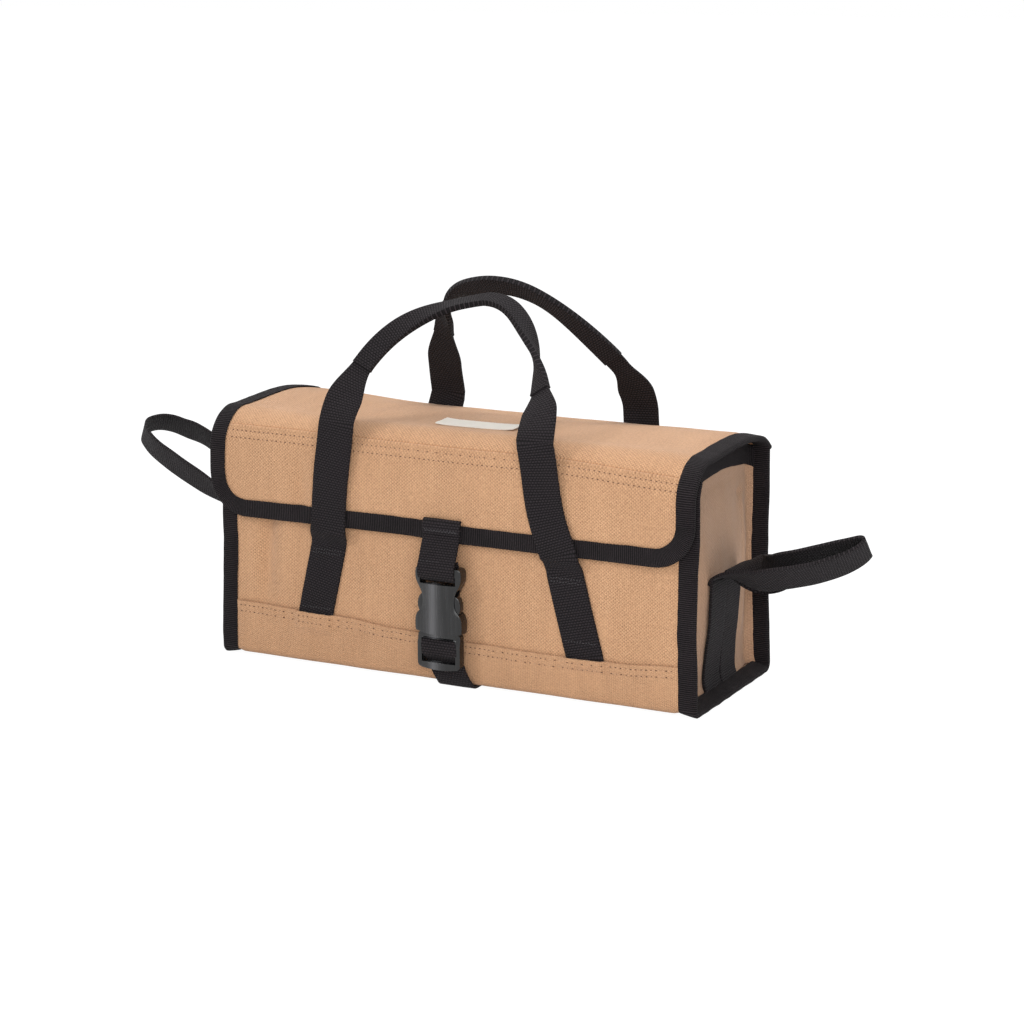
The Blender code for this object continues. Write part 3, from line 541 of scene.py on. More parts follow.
# The front of the case: cloth that swells a little and puckers at its seams
def pucker(along, away, reach=9 * MM, period=6.0 * MM, seed=0.0):
    """Small folds that run into a seam and die away from it."""
    fade = math.exp(-abs(away) / reach)
    stray = wander(along * 38, seed, away * 20) * 2.2
    return fade * math.sin(along / period * math.tau * 0.8 + stray * 2.0)


def hem_top(x):
    return eased(
        x, (-155, 38.6), (-70, 36.6), (-40, 34.0), (-18, 33.2), (15, 30.8), (66, 30.2), (125, 30.8), (158, 33.0)
    )


def mouth_top(x):
    """The mouth's edge drops towards the right end, where the lid's front corner is rounder."""
    return MOUTH_TOP - smooth_between(x / CLOTH_X, (-1, 1.0 * MM), (-0.7, 0), (0.45, 0), (0.92, 7 * MM))


def face_swell(x, z, top):
    """How much of the cloth's swell there is at a spot, across and up the case."""
    return max(1 - (abs(x) / CLOTH_X) ** 3, 0), math.sin(math.pi * min(max(z / top, 0), 1))


def front_face(x, z):
    """Y of the front cloth's middle."""
    width, height = face_swell(x, z, MOUTH_TOP)
    soft = wander(x * 14, 3.7, z * 19) * 0.9 * MM
    small = wander(x * 45, 8.1, z * 38) * 0.3 * MM
    hem = pucker(x, z - hem_top(x), 9 * MM, 7.5 * MM, 4.0) * 0.2 * MM
    high = faded(z, (30, 0), (60, 1))
    valley = 4.2 * MM * dent(x - (z - 60 * MM) * 0.06, -134 * MM, 6.0 * MM) * high
    valley -= 1.6 * MM * dent(x, -117 * MM, 9 * MM) * high
    valley += 0.8 * MM * dent(x, 140 * MM, 12 * MM) * high
    lean = fin_lean(z) * faded(x, (150, 0), (163, 1))
    return FRONT_MID - (0.9 * MM * height * width + (soft + small + hem) * width) + valley + lean


def back_face(x, z):
    """Y of the back cloth's middle."""
    width, height = face_swell(x, z, BACK_TOP)
    soft = wander(x * 12, 23.7, z * 17) * 1.0 * MM
    small = wander(x * 40, 28.1, z * 36) * 0.3 * MM
    return BACK_MID + (1.2 * MM * height * width + (soft + small) * width)


def fin_lean(z):
    """The tops of the front fins lean back under the flap."""
    return eased(z, (88, 0), (138, 2.6)) + eased(z, (136, 0), (150, 4.2))


def fin_out(side, y, z):
    """How far out the bound edge of an end stands."""
    if side < 0:
        return eased(z, (0, 168.9), (95, 166.2))
    front = eased(z, (0, 172.2), (60, 170.8), (90, 171.0), (112, 171.9), (140, 170.6))
    back = eased(z, (0, 173.6), (80, 170.8))
    return front + (back - front) * (y - FRONT) / (BACK - FRONT)


# The lid and its flap are one cloth, its front corner rounder at the ends than in the middle
def lid_radius(x):
    return smooth_between(x / CLOTH_X, (-1, 25 * MM), (-0.45, 19 * MM), (0.4, 19 * MM), (1, 27 * MM))


def lid_top(x):
    return smooth_between(x / CLOTH_X, (-1, 165.3 * MM), (-0.3, 163.6 * MM), (0.3, 163.4 * MM), (1, 160.0 * MM))


def lid_back(x):
    return smooth_between(x / CLOTH_X, (-1, 160.6 * MM), (-0.45, 157.0 * MM), (0.6, 155.6 * MM), (1, 155.6 * MM))


def flap_low(x):
    return eased(x, (-30, 97.2), (15, 95.4), (170, 95.2))


def seam_turn(x):
    return math.radians(smooth_between(x / CLOTH_X, (-1, 52), (0, 58.5), (1, 53)))


def lid_shape(x, q):
    """Point and normal of the lid and flap cloth's middle. q is the run from the top of its front corner,
    less than nothing on the lid, more than nothing round the corner and down the flap."""
    radius, top = lid_radius(x), lid_top(x)
    centre_y = FLAP_Y + radius
    along = x / CLOTH_X
    middle = max(1 - abs(along) ** 4, 0)
    length = BACK - centre_y
    quarter = radius * math.pi / 2
    if q <= 0:
        share = min(-q / length, 1)
        point = Vector((x, centre_y - q, top + (lid_back(x) - top) * share))
        normal = Vector((0, 0, 1))
        dome = smooth_between(abs(along), mm(0, 2.4), (1, 4.4 * MM)) * math.sin(math.pi * share ** 1.35)
        dome -= 1.6 * MM * smooth_between(share, (0.55, 0), (0.85, 1), (1.0, 0.6)) * middle
    elif q <= quarter:
        turn = q / radius
        normal = Vector((0, -math.sin(turn), math.cos(turn)))
        point = Vector((x, centre_y, top - radius)) + normal * radius
        dome = 0.0
    else:
        normal = TO_FRONT
        point = Vector((x, FLAP_Y, top - radius - (q - quarter)))
        down = (q - quarter) / (top - radius - flap_low(x))
        dome = 0.8 * MM * math.sin(math.pi * min(down, 1)) * middle
        dome += 0.9 * MM * min(down, 1) * wander(x * 13, 0.3, 6.6)
        dome -= 2.4 * MM * dent(x, -103 * MM, 5.5 * MM) * math.sin(math.pi * min(max(down, 0), 1))
    droop = smooth_between(abs(along), (0.90, 0), (1, 2.2 * MM if x > 0 else 0.9 * MM))
    droop *= 1 if q <= 0 else max(1 - q / quarter, 0)
    reach, depth = mm(15, 4.4) if x > 0 else mm(9, 3.2)
    behind = max(1 - (q + length) / reach, 0)
    droop += depth * min(behind, 1.1) ** 2 * smooth_between(abs(along), (0.87, 0), (0.96, 1))
    soft = wander(x * 11, q * 17, 4.2) * 1.0 * MM * (0.3 + 0.7 * middle)
    small = wander(x * 36, q * 42, 9.4) * 0.32 * MM * middle
    return point + normal * (dome + soft + small) - Vector((0, 0, droop)), normal


def lid_height(x, y):
    """Height of the lid cloth's middle over a spot."""
    radius = lid_radius(x)
    behind = y - FLAP_Y - radius
    q = -behind if behind >= 0 else radius * math.asin(min(-behind / radius, 1))
    return lid_shape(x, q)[0].z


FLAT_LOW = 5 * MM
UNDER_TAPE = 1.2 * MM


def flat_cloth(name, columns, rows, high, face, end_y):
    """The front's or back's cloth, up to high(x) and out to the bound edges at end_y."""

    def place(i, j):
        share = i / columns
        top = high((2 * share - 1) * CLOTH_X)
        z = FLAT_LOW + (top - FLAT_LOW) * j / rows
        left, right = (fin_out(side, end_y, z) - UNDER_TAPE for side in (-1, 1))
        x = -left * (1 - share) + right * share
        return Vector((x, face(x, z), z))

    return cloth(name, columns, rows, place, CANVAS_THICK, canvas, None)


def front_top(x):
    return mouth_top(x) - 1.1 * MM


def back_top(x):
    """The back's cloth goes up to the lid, which turns over from it."""
    return lid_height(x, BACK_MID) - 1.0 * MM


front_cloth = flat_cloth("front_cloth", 150, 62, front_top, front_face, FRONT)
finish_piece(front_cloth, "case", ("front_panel",))
back_cloth = flat_cloth("back_cloth", 120, 50, back_top, back_face, BACK)
finish_piece(back_cloth, None, ("back_panel",))
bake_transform(back_cloth)

# The bottom cloth runs under the case and up the front and back to a folded hem
BASE_LOW = 3.4 * MM
HEM_OUT = 1.5 * MM
TURN = 3.6 * MM
RISE = 7 * MM
FOOT_LOW = 28.5 * MM


def over_strap(x, z, feet):
    """The hem stands out over the foot of each handle strap."""
    lift = 0.0
    for foot in feet:
        across = faded(abs(x - foot), (11.5, 1), (15.5, 0))
        lift = max(lift, across * smooth_between(z, (FOOT_LOW - 7 * MM, 0), (FOOT_LOW, 1)))
    return 2.0 * MM * lift


def bottom_section():
    """The stretches of the section from the front hem round under to the back hem: kind, side of the case, and how far
    along from the hem's fold."""
    half = [("hem", share) for share in spaced(1, 0, 22)]
    half += [("turn", angle) for angle in spaced(0, math.pi / 2, 6)[1:-1]]
    under = [("under", 0, share) for share in spaced(0, 1, 30)]
    return [(kind, -1, value) for kind, value in half] + under + [(kind, 1, value) for kind, value in half[::-1]]


BOTTOM_SPOTS = bottom_section()
BOTTOM_COLUMNS = 156
FRONT_FEET = mm(-96.6, 96.9)
BACK_FEET = mm(-94.8, 94.8)


def hem_reach(side):
    """How far the bottom cloth runs towards an end, just in under the end's tape."""
    return fin_out(side, CASE_Y, 10 * MM) - 9.9 * MM


def hem_share(x):
    """The bottom cloth sinks into the front and back towards its ends, under the end tapes."""
    side = 1 if x > 0 else -1
    return faded(hem_reach(side) - abs(x), (1, 0.3), (7, 1))


def hem_edge(x):
    return hem_top(x) + 0.25 * MM * wander(x * 60, 1.3, 0.4)


def hem_stand(x, z, feet):
    """How far the hem's middle stands off the front or back cloth's middle."""
    below = hem_edge(x) - z
    fold = max(0, 1 - below / (6 * MM)) ** 0.7
    puff = 0.4 * MM * math.exp(-((below - 5 * MM) / (1.5 * MM)) ** 2)
    folds = pucker(x, 5 * MM - below, 8 * MM, 5.4 * MM, 2.0) * faded(z, (9, 0), (18, 1))
    return (HEM_OUT + 0.75 * MM * fold + puff + 0.28 * MM * folds) * hem_share(x) + over_strap(x, z, feet)


def bottom_place(i, j):
    kind, hand, value = BOTTOM_SPOTS[j]
    x = -hem_reach(-1) * (1 - i / BOTTOM_COLUMNS) + hem_reach(1) * i / BOTTOM_COLUMNS
    out = hem_share(x)
    front_y = front_face(x, 8 * MM) - HEM_OUT * out
    back_y = back_face(x, 8 * MM) + HEM_OUT * out
    raised = 0.35 * MM * wander(x * 25, 5.0, 1.0) + 1.3 * MM * (1 - out)
    if kind == "hem":
        z = RISE + (hem_edge(x) - RISE) * value
        face, feet = (front_face, FRONT_FEET) if hand < 0 else (back_face, BACK_FEET)
        return Vector((x, face(x, z) + hand * hem_stand(x, z, feet), z))
    if kind == "turn":
        z = BASE_LOW + TURN * (1 - math.sin(value)) + raised * math.sin(value)
        y = front_y if hand < 0 else back_y
        return Vector((x, y - hand * TURN * (1 - math.cos(value)), z))
    y = front_y + TURN + (back_y - front_y - 2 * TURN) * value
    return Vector((x, y, BASE_LOW + raised))


def bottom_measure(i, j):
    return (i * 2.02 * MM, j * 2.2 * MM)


bottom_cloth = cloth(
    "bottom_cloth", BOTTOM_COLUMNS, len(BOTTOM_SPOTS) - 1, bottom_place, 1.5 * MM, canvas, bottom_measure, 0.4 * MM
)
finish_piece(bottom_cloth, "case", ("bottom_panel",))

for row_name, drop in (("upper", 2.7 * MM), ("lower", 6.9 * MM)):
    for side_name, face, hand, feet in (("front", front_face, -1, FRONT_FEET), ("back", back_face, 1, BACK_FEET)):
        points, normals = [], []
        for x in places_across(300, 156):
            z = hem_top(x) - drop
            out = hem_stand(x, z, feet) + 0.8 * MM
            points.append(Vector((x, face(x, z) + hand * out, z)))
            normals.append(Vector((0, hand, 0)))
        sewn_row(side_name + "_hem_stitches_" + row_name, points, normals, "case")

# The ends: cloth set in between the bound edges, swelling over what is inside

END_HALF = 57.7 * MM
BOTTOM_TILT = math.radians(17)
FIN_TOP = {-1: 148.2 * MM, 1: 147.2 * MM}
LEG_Y = CASE_Y + 3 * MM


def end_top(side, y):
    """The top of an end's cloth follows the lid, a little under it."""
    under = eased(y, (-30, 9.2), (0, 8.0), (40, 7.6), (60, 6.4))
    return lid_height(side * END_X, y) - under


def end_flare(side, y, z):
    """The end's cloth turns out towards the fins."""
    edge = max(abs(y - CASE_Y) / END_HALF - 0.90, 0) / 0.10
    return edge * edge * max(fin_out(side, y, z) - 10.8 * MM - END_MID, 1.2 * MM)


def end_face(side, y, z):
    """X of an end cloth's middle."""
    across = max(1 - ((y - CASE_Y) / END_HALF) ** 2, 0)
    up = min(max((z - 4.9 * MM) / (128 * MM), 0), 1)
    swell = 7 * MM * across * math.sin(math.pi * up) ** 0.7
    soft = wander(side * 7.0, y * 30, z * 22) * 1.3 * MM
    small = wander(side * 3.0, y * 70, z * 60) * 0.45 * MM
    calm = min(1, across * 3) * min(1, max(0, (end_top(side, y) - 14 * MM - z) / (14 * MM)))
    ridge = 1.3 * MM * dent(y, 50 * MM, 3.2 * MM) * faded(z, (20, 0), (50, 1), (112, 1), (122, 0))
    tuck = -1.8 * MM * dent(y, 47 * MM, 4 * MM) * dent(z, 122 * MM, 4 * MM)
    tuck -= 1.2 * MM * dent(y, 40 * MM, 7 * MM) * dent(z, 116 * MM, 9 * MM)
    foot = 5.2 * MM * math.exp(-max(z - 5.5 * MM, 0) / (5.5 * MM)) * (0.35 + 0.65 * min(1, across * 2))
    return side * (END_MID + swell + (soft + small) * calm + end_flare(side, y, z) + ridge + tuck + foot)


END_LOW = 5.5 * MM
END_CLOTH_HALF = 57.8 * MM
END_COLUMNS, END_ROWS = 70, 80
EDGE_CORNER = 4.2 * MM


def end_measure(i, j):
    return ((2 * i / END_COLUMNS - 1) * END_CLOTH_HALF, 150 * MM * j / END_ROWS)


def end_edge_path(side):
    """Down the front of an end, under it and up its back. Each spot has its place, the way out from the bag and how
    far it is under the bottom."""
    path = []

    def add(y, z, normal, share):
        path.append((Vector((0, y, z)), normal, share))

    def add_corner(y, start, shares):
        for angle, share in zip(spaced(start, start + math.pi / 2, 8), shares):
            normal = Vector((0, math.cos(angle), math.sin(angle)))
            add(y + normal.y * EDGE_CORNER, TAPE_HALF + EDGE_CORNER * (1 + normal.z), normal, share)

    for z in spaced(FIN_TOP[side], 6.2 * MM, 60)[:-1]:
        add(FRONT_MID + 0.5 * MM * wander(z * 30, side, 2) + (fin_lean(z) if side > 0 else 0), z, TO_FRONT, 0.0)
    add_corner(FRONT_MID + EDGE_CORNER, math.pi, spaced(0, 1, 8))
    for step, y in enumerate(spaced(FRONT_MID + EDGE_CORNER, BACK_MID - EDGE_CORNER, 44)[1:-1]):
        add(y, TAPE_HALF + 0.15 * MM * math.sin((step + 1) * 0.9), DOWN, 1.0)
    add_corner(BACK_MID - EDGE_CORNER, math.pi * 1.5, spaced(1, 0, 8))
    high = lid_height(side * 166 * MM, BACK_MID - 2 * MM) - 1.8 * MM
    for z in spaced(TAPE_HALF + EDGE_CORNER, high, 61)[1:]:
        add(BACK_MID + 0.35 * MM * wander(z * 30, side, 9), z, Vector((0, 1, 0)), 0.0)
    return path


def end_edge_stations(side):
    """The tape round an end stands in from the edge, and tilts in under the bottom."""
    stations, inner = [], Vector((-side, 0, 0))
    for k, (point, normal, share) in enumerate(end_edge_path(side)):
        out = fin_out(side, point.y, point.z) + 0.35 * MM * wander(k * 0.11, side * 4.0, 0)
        tilt = BOTTOM_TILT * share
        way_in = inner * math.cos(tilt) - normal * math.sin(tilt)
        stations.append((point + Vector((side * out, 0, 0)), way_in, normal * math.cos(tilt) + inner * math.sin(tilt)))
    return stations


for name, side in SIDES:

    def end_place(i, j, side=side):
        y = CASE_Y + (2 * i / END_COLUMNS - 1) * END_CLOTH_HALF
        z = END_LOW + (end_top(side, y) - END_LOW) * j / END_ROWS
        return Vector((end_face(side, y, z), y, z))

    # The end cloth takes the darker copy of the canvas, which is painted shade.
    end = cloth("end_cloth_" + name, END_COLUMNS, END_ROWS, end_place, CANVAS_THICK, end_canvas_painted_shade, end_measure)
    finish_piece(end, "case", ("end_panel_" + name,))

    stations = []
    for along in places_across(60, 57.4):
        y = CASE_Y + along
        x = side * (END_MID + end_flare(side, y, 140 * MM))
        stations.append((Vector((x, y, end_top(side, y) + 1.7 * MM)), DOWN, Vector((side, 0, 0))))
    top_tape = bound_edge("end_top_tape_" + name, stations, 13.6 * MM, ripple=0.35 * MM, seed=20 + side)
    finish_piece(top_tape, "case", ("end_top_binding_" + name,))
    edge_tape = bound_edge("end_tape_" + name, end_edge_stations(side), 11.4 * MM, ripple=0.32 * MM, seed=side * 2.0)
    finish_piece(edge_tape, "case", ("end_binding_" + name,))

mouth = []
for x in places_across(100, 153):
    mouth.append((Vector((x, front_face(x, mouth_top(x)), mouth_top(x))), DOWN, TO_FRONT))
finish_piece(bound_edge("mouth_tape", mouth, seed=31.0), "case", ("mouth_binding",))


# The lid and its flap
def seam_run(x):
    return lid_radius(x) * seam_turn(x) + 0.4 * MM * wander(x * 20, 2.2, 2.2)


def lid_relief(x, away):
    """The folded seam along the front edge, proud of the cloth above it, and its puckers."""
    under_tape = faded(abs(x), (155, 1), (160, 0))
    fold = (1 + math.tanh(away / (0.26 * MM))) / 2
    fade = math.exp(-max(away, 0) / (9 * MM))
    crease = math.exp(-((away + 0.6 * MM) / (0.5 * MM)) ** 2)
    ridge = math.exp(-((away - 0.5 * MM) / (0.55 * MM)) ** 2)
    rows = math.exp(-((away - 3.4 * MM) / (1.0 * MM)) ** 2) + math.exp(-((away - 8.0 * MM) / (1.0 * MM)) ** 2)
    height = 0.9 * fold * fade - 1.1 * crease + 0.5 * ridge - 0.3 * rows
    return MM * under_tape * (height + 0.16 * pucker(x, away - 4 * MM, 8 * MM, 5.2 * MM, 1.0))


def lid_point(x, q):
    point, normal = lid_shape(x, q)
    return point + normal * lid_relief(x, q - seam_run(x)), normal


def flap_run(x):
    """Run from the top of the front corner to the flap's lower edge."""
    return lid_radius(x) * math.pi / 2 + lid_top(x) - lid_radius(x) - flap_low(x)


def lid_rows():
    """The stretches of a line down the lid and flap, from the back edge to the flap's lower edge, and how far along."""
    rows = [("lid", share) for share in spaced(1, 0, 34)[:-1]]
    rows += [("corner", share) for share in spaced(0, 1, 8)[:-1]]
    rows += [("seam", away * MM) for away in [-3, -2.5, -2, -1.75] + spaced(-1.6, 1.6, 16) + spaced(2, 12, 22)]
    rows += [("flap", share) for share in spaced(0, 1, 10)[1:]]
    rows += [("low", math.sin(angle)) for angle in spaced(0, math.pi / 2, 14)[1:]]
    return rows


LID_ROWS = lid_rows()
HALF_CLOTH = CLOTH_X + 1.2 * MM
LID_COLUMNS = 150
SEAM_BAND = 12 * MM


def row_run(x, row):
    kind, value = row
    seam, low = seam_run(x), flap_run(x) - 1 * MM
    if kind == "lid":
        return -value * (BACK - FLAP_Y - lid_radius(x))
    if kind == "corner":
        return value * (seam - 3 * MM)
    if kind == "seam":
        return seam + value
    if kind == "flap":
        return seam + SEAM_BAND + (low - FLAP_CORNER - seam - SEAM_BAND) * value
    return low - FLAP_CORNER + FLAP_CORNER * value


def row_reach(row):
    if row[0] != "low":
        return HALF_CLOTH
    return HALF_CLOTH - FLAP_CORNER * (1 - math.sqrt(max(1 - row[1] * row[1], 0)))


def lid_measure(i, j):
    """The lid cloth's x and its run from the top of the front corner."""
    x = (2 * i / LID_COLUMNS - 1) * row_reach(LID_ROWS[j])
    return (x, row_run(x, LID_ROWS[j]))


def lid_place(i, j):
    return lid_point(*lid_measure(i, j))[0]


lid_cloth = cloth("lid_and_flap_cloth", LID_COLUMNS, len(LID_ROWS) - 1, lid_place, CANVAS_THICK, canvas, lid_measure)
finish_piece(lid_cloth, None, ("lid_panel", "flap_panel"))
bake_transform(lid_cloth)

for label_name, drop in (("upper", 3.4 * MM), ("lower", 8.0 * MM)):
    points, normals = [], []
    for x in places_across(280, 158.5):
        point, normal = lid_point(x, seam_run(x) + drop)
        points.append(point + normal * 0.85 * MM)
        normals.append(normal)
    for row in sewn_row("flap_seam_stitches_" + label_name, points, normals, None):
        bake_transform(row)

# One tape binds the lid's left end, the flap's sides and bottom, and the lid's right end
TAPE_X = HALF_CLOTH + 1.1 * MM
TAPE_CORNER = FLAP_CORNER + 1.1 * MM


def lid_back_run(x):
    return -(BACK - FLAP_Y - lid_radius(x)) - 0.8 * MM


def lid_edge_spots():
    """Each spot says which stretch of the edge it is on and how far along."""
    side, turn = spaced(0, 1, 90), spaced(0, 1, 22)
    spots = [("left", share) for share in side]
    spots += [("left_turn", share) for share in turn[-2:0:-1]]
    spots += [("low", share) for share in spaced(-1, 1, 130)]
    spots += [("right_turn", share) for share in turn[1:-1]]
    return spots + [("right", share) for share in side[::-1]]


def lid_edge_place(spot, run):
    kind, value = spot
    side = -1 if kind.startswith("left") else 1
    if kind in ("left", "right"):
        x = side * (TAPE_X - run)
        back = lid_back_run(x)
        q = back + (flap_run(x) - TAPE_CORNER - back) * value
        point, normal = lid_shape(x, q)
        point.x += side * 0.5 * MM * wander(q * 30, side * 2.0, 1.0)
        return point, normal
    if kind == "low":
        x = value * (TAPE_X - TAPE_CORNER)
        return lid_shape(x, flap_run(x) - run)[0], TO_FRONT
    angle = math.pi * 1.5 + side * math.pi / 2 * value
    reach = TAPE_CORNER - run
    x = side * (TAPE_X - TAPE_CORNER) + math.cos(angle) * reach
    q = flap_run(x) - TAPE_CORNER - math.sin(angle) * reach
    return lid_shape(x, q)[0], TO_FRONT


lid_tape = folded_tape("lid_and_flap_tape", lid_edge_spots(), lid_edge_place, 11.6 * MM, 0.25 * MM, 11.0)
finish_piece(lid_tape, None, ("lid_binding_left", "lid_binding_right", "flap_binding"))
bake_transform(lid_tape)

# The bare cream label, sewn flat on the lid and lifting a little at its ends
LABEL_LONG, LABEL_WIDE = 27 * MM, 10.5 * MM
LABEL_COLUMNS, LABEL_ROWS = 52, 24
LABEL_TURN = math.radians(5)


def label_place(i, j):
    u = (2 * i / LABEL_COLUMNS - 1) * LABEL_LONG
    v = (2 * j / LABEL_ROWS - 1) * LABEL_WIDE
    x = 7.5 * MM + u * math.cos(LABEL_TURN) - v * math.sin(LABEL_TURN)
    y = FRONT + 34 * MM + u * math.sin(LABEL_TURN) + v * math.cos(LABEL_TURN)
    fray = (0.25 + 0.9 * (abs(u) / LABEL_LONG) ** 8) * MM * wander(u * 300, v * 900, 0)
    side_fray = 0.5 * MM * (abs(v) / LABEL_WIDE) ** 6 * wander(u * 500, v * 300, 5)
    point, normal = lid_point(x, FLAP_Y + lid_radius(x) - y)
    curl = 0.9 * MM * (abs(u) / LABEL_LONG) ** 6
    return point + normal * (1.25 * MM + curl) + Vector((fray, side_fray, 0))


def label_measure(i, j):
    return (i * 1.04 * MM, j * 0.875 * MM)


label = cloth("label_cloth", LABEL_COLUMNS, LABEL_ROWS, label_place, 0.5 * MM, label_cloth, label_measure)
finish_piece(label, "lid", ("label",))


# The straps of the buckle
def strap_stations(points, steps, width, sway):
    """Stations through (place, mm from it, height in mm), swaying sideways with their height."""
    path = smooth_path([Vector((sway(z * MM), place + away * MM, z * MM)) for place, away, z in points], steps)
    return [(point, Vector((width / 2, 0, 0))) for point in path]


def upper_sway(z):
    return between(z, mm(76, -0.2), mm(88, -0.1), mm(106, 2.0))


def lower_sway(z):
    return between(z, mm(0, 8.6), mm(4, 7.6), mm(13, 4.2), mm(22, 1.4), mm(30, 0.8))


def buckle_strap(name, points, steps, width, sway, thickness=BUCKLE_STRAP_THICK, start=0.0):
    return webbing(name, strap_stations(points, steps, width, sway), thickness, start=start, wave=0.3 * MM)


FLAP_FACE = FLAP_Y - TAPE_HALF - 1.25 * MM
UPPER = (
    (FLAP_FACE, 0, 108.6), (FLAP_FACE, -0.1, 103), (FLAP_FACE, -0.5, 97), (FLAP_FACE, -1.8, 91), (FLAP_FACE, -3.6, 85),
    (BUCKLE_Y, -4.4, 80), (BUCKLE_Y, -4.2, 75.6), (BUCKLE_Y, -2.6, 72.8), (BUCKLE_Y, 0, 71.6), (BUCKLE_Y, 2.4, 73.4),
    (BUCKLE_Y, 2.6, 78.5), (BUCKLE_Y, 1.0, 84),
)
upper_strap = buckle_strap("buckle_strap_upper", UPPER, 8, 26 * MM, upper_sway)
finish_piece(upper_strap, "flap", ("upper_strap",))

PATCH = [(FLAP_FACE, *spot) for spot in ((0.6, 110.2), (-1.1, 109.2), (-1.7, 107), (-1.75, 104), (-1.7, 101.5))]
strap_patch = buckle_strap("buckle_strap_fold", PATCH, 6, 26.4 * MM, lambda z: 2.0 * MM, 1.5 * MM, 1 * MM)
finish_piece(strap_patch, "flap", ())
for row_name, height, out in (("top", 103.6 * MM, 2.55 * MM), ("low", 83.4 * MM, 4.75 * MM)):
    points = []
    for k, x in enumerate(places_across(40, 11.6)):
        z = height + (0.5 * MM if k % 4 < 2 else -0.5 * MM)
        points.append(Vector((upper_sway(height) + x, FLAP_FACE - out, z)))
    row = stitch_row("strap_stitches_" + row_name, points, [TO_FRONT] * 41, black_thread, *mm(1.3, 1.6, 0.5), 0.3)
    finish_piece(row, "flap", ())

STRAP_FACE = FRONT - 3.1 * MM
LOWER = (
    (STRAP_FACE, 36, 1.3), (STRAP_FACE, 18, 1.3), (STRAP_FACE, 6, 1.2), (STRAP_FACE, 1.6, 2.2), (STRAP_FACE, -0.4, 5.2),
    (STRAP_FACE, -1.8, 9), (BUCKLE_Y, 3.4, 13), (BUCKLE_Y, 2.8, 17), (BUCKLE_Y, 0.2, 20.6), (BUCKLE_Y, -2.3, 23.4),
    (BUCKLE_Y, -2.9, 27), (BUCKLE_Y, -2.5, 31), (BUCKLE_Y, -0.6, 33.6), (BUCKLE_Y, 1.6, 34.2),
)
lower_strap = buckle_strap("buckle_strap_lower", LOWER, 6, 25 * MM, lower_sway)
finish_piece(lower_strap, None, ("lower_strap",))
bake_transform(lower_strap)


# Carry handles: the legs are sewn on the case, leave it below the flap and narrow into a folded grip
LEAN_POWER = 1.3
LEG_LOW = 35 * MM
LEG_FREE = 83 * MM
STEP_LOW = 84.5 * MM
ARCH_LOW = 165 * MM
STRAP_STAND = 1.85 * MM
NECK_WIDTH = 13 * MM
GRIP_WIDTH = 13.6 * MM
GRIP_LAP = 0.012
GRIP_START = 0.016


def step_share(z):
    """How far the strap has come off the case and over the flap's lower edge."""
    return smooth_step((z - STEP_LOW) / (FLAP_LOW - STEP_LOW))


class Handle:
    """A carry handle. Pairs are for its left and right half: where its legs are sewn on and meet the arch, how full the
    arch is, how far its shoulder is raised, and where the strap narrows, turns on edge and is folded into the grip."""

    def __init__(self, **measures):
        vars(self).update(measures)

    def lean(self, z):
        if self.out < 0:
            near = self.clear_y + 2.1 * MM
            if z <= FLAP_LOW:
                return self.sewn_y + (near - self.sewn_y) * step_share(z)
            if z <= ARCH_LOW:
                return near + (self.clear_y - near) * smooth_step((z - 120 * MM) / (45 * MM))
        if z <= ARCH_LOW:
            return self.clear_y
        share = min((z - ARCH_LOW) / self.rise, 1)
        return self.clear_y + (self.top_y - self.clear_y) * share ** LEAN_POWER

    def arch(self, share):
        turn = share * math.pi
        half = 0 if share < 0.5 else 1
        x = self.top_x + (self.bases[half] - self.top_x) * abs(math.cos(turn)) ** self.powers[half]
        z = ARCH_LOW + self.rise * math.sin(turn)
        tilt = self.skews[half] * math.cos(turn) * math.sin(2 * turn) ** 2
        return Vector((x, self.lean(z), z + tilt))

    def leg(self, side, z):
        half = 0 if side < 0 else 1
        low_x, top_x, foot = self.sewn[half], self.bases[half], self.feet[half]
        step_in = self.sewn_shift * (1 - step_share(z))
        if z < LEG_FREE:
            share = (z - LEG_LOW) / (LEG_FREE - LEG_LOW)
            return Vector((foot + (low_x + step_in - foot) * share, self.lean(z), z))
        share = (z - LEG_FREE) / (ARCH_LOW - LEG_FREE)
        bow = eased(z, *self.bows[half])
        return Vector((low_x + step_in + bow + (top_x - low_x) * share, self.lean(z), z))

    def half_width(self, share, narrow_to=NECK_WIDTH):
        """Half the strap's width at a share of the arch, turned on edge towards its top."""
        small = 0.004
        half, hand = (0, 1) if share < 0.5 else (1, -1)
        forward = (self.arch(share + small) - self.arch(share - small)).normalized()
        flat = forward.cross(Vector((0, self.out, 0))).normalized()
        on_edge = flat.cross(forward).normalized()
        reach = min(share, 1 - share)
        full = math.radians(self.top_turn if half == 0 else 180 - self.top_turn)
        turn = smooth_step((reach - self.turn_from[half]) / 0.24) * full
        narrow = smooth_step((reach - self.narrow_from[half]) / 0.085)
        width = WEB + (narrow_to - WEB) * narrow
        return (flat * math.cos(turn) + on_edge * (hand * math.sin(turn))) * (width / 2)


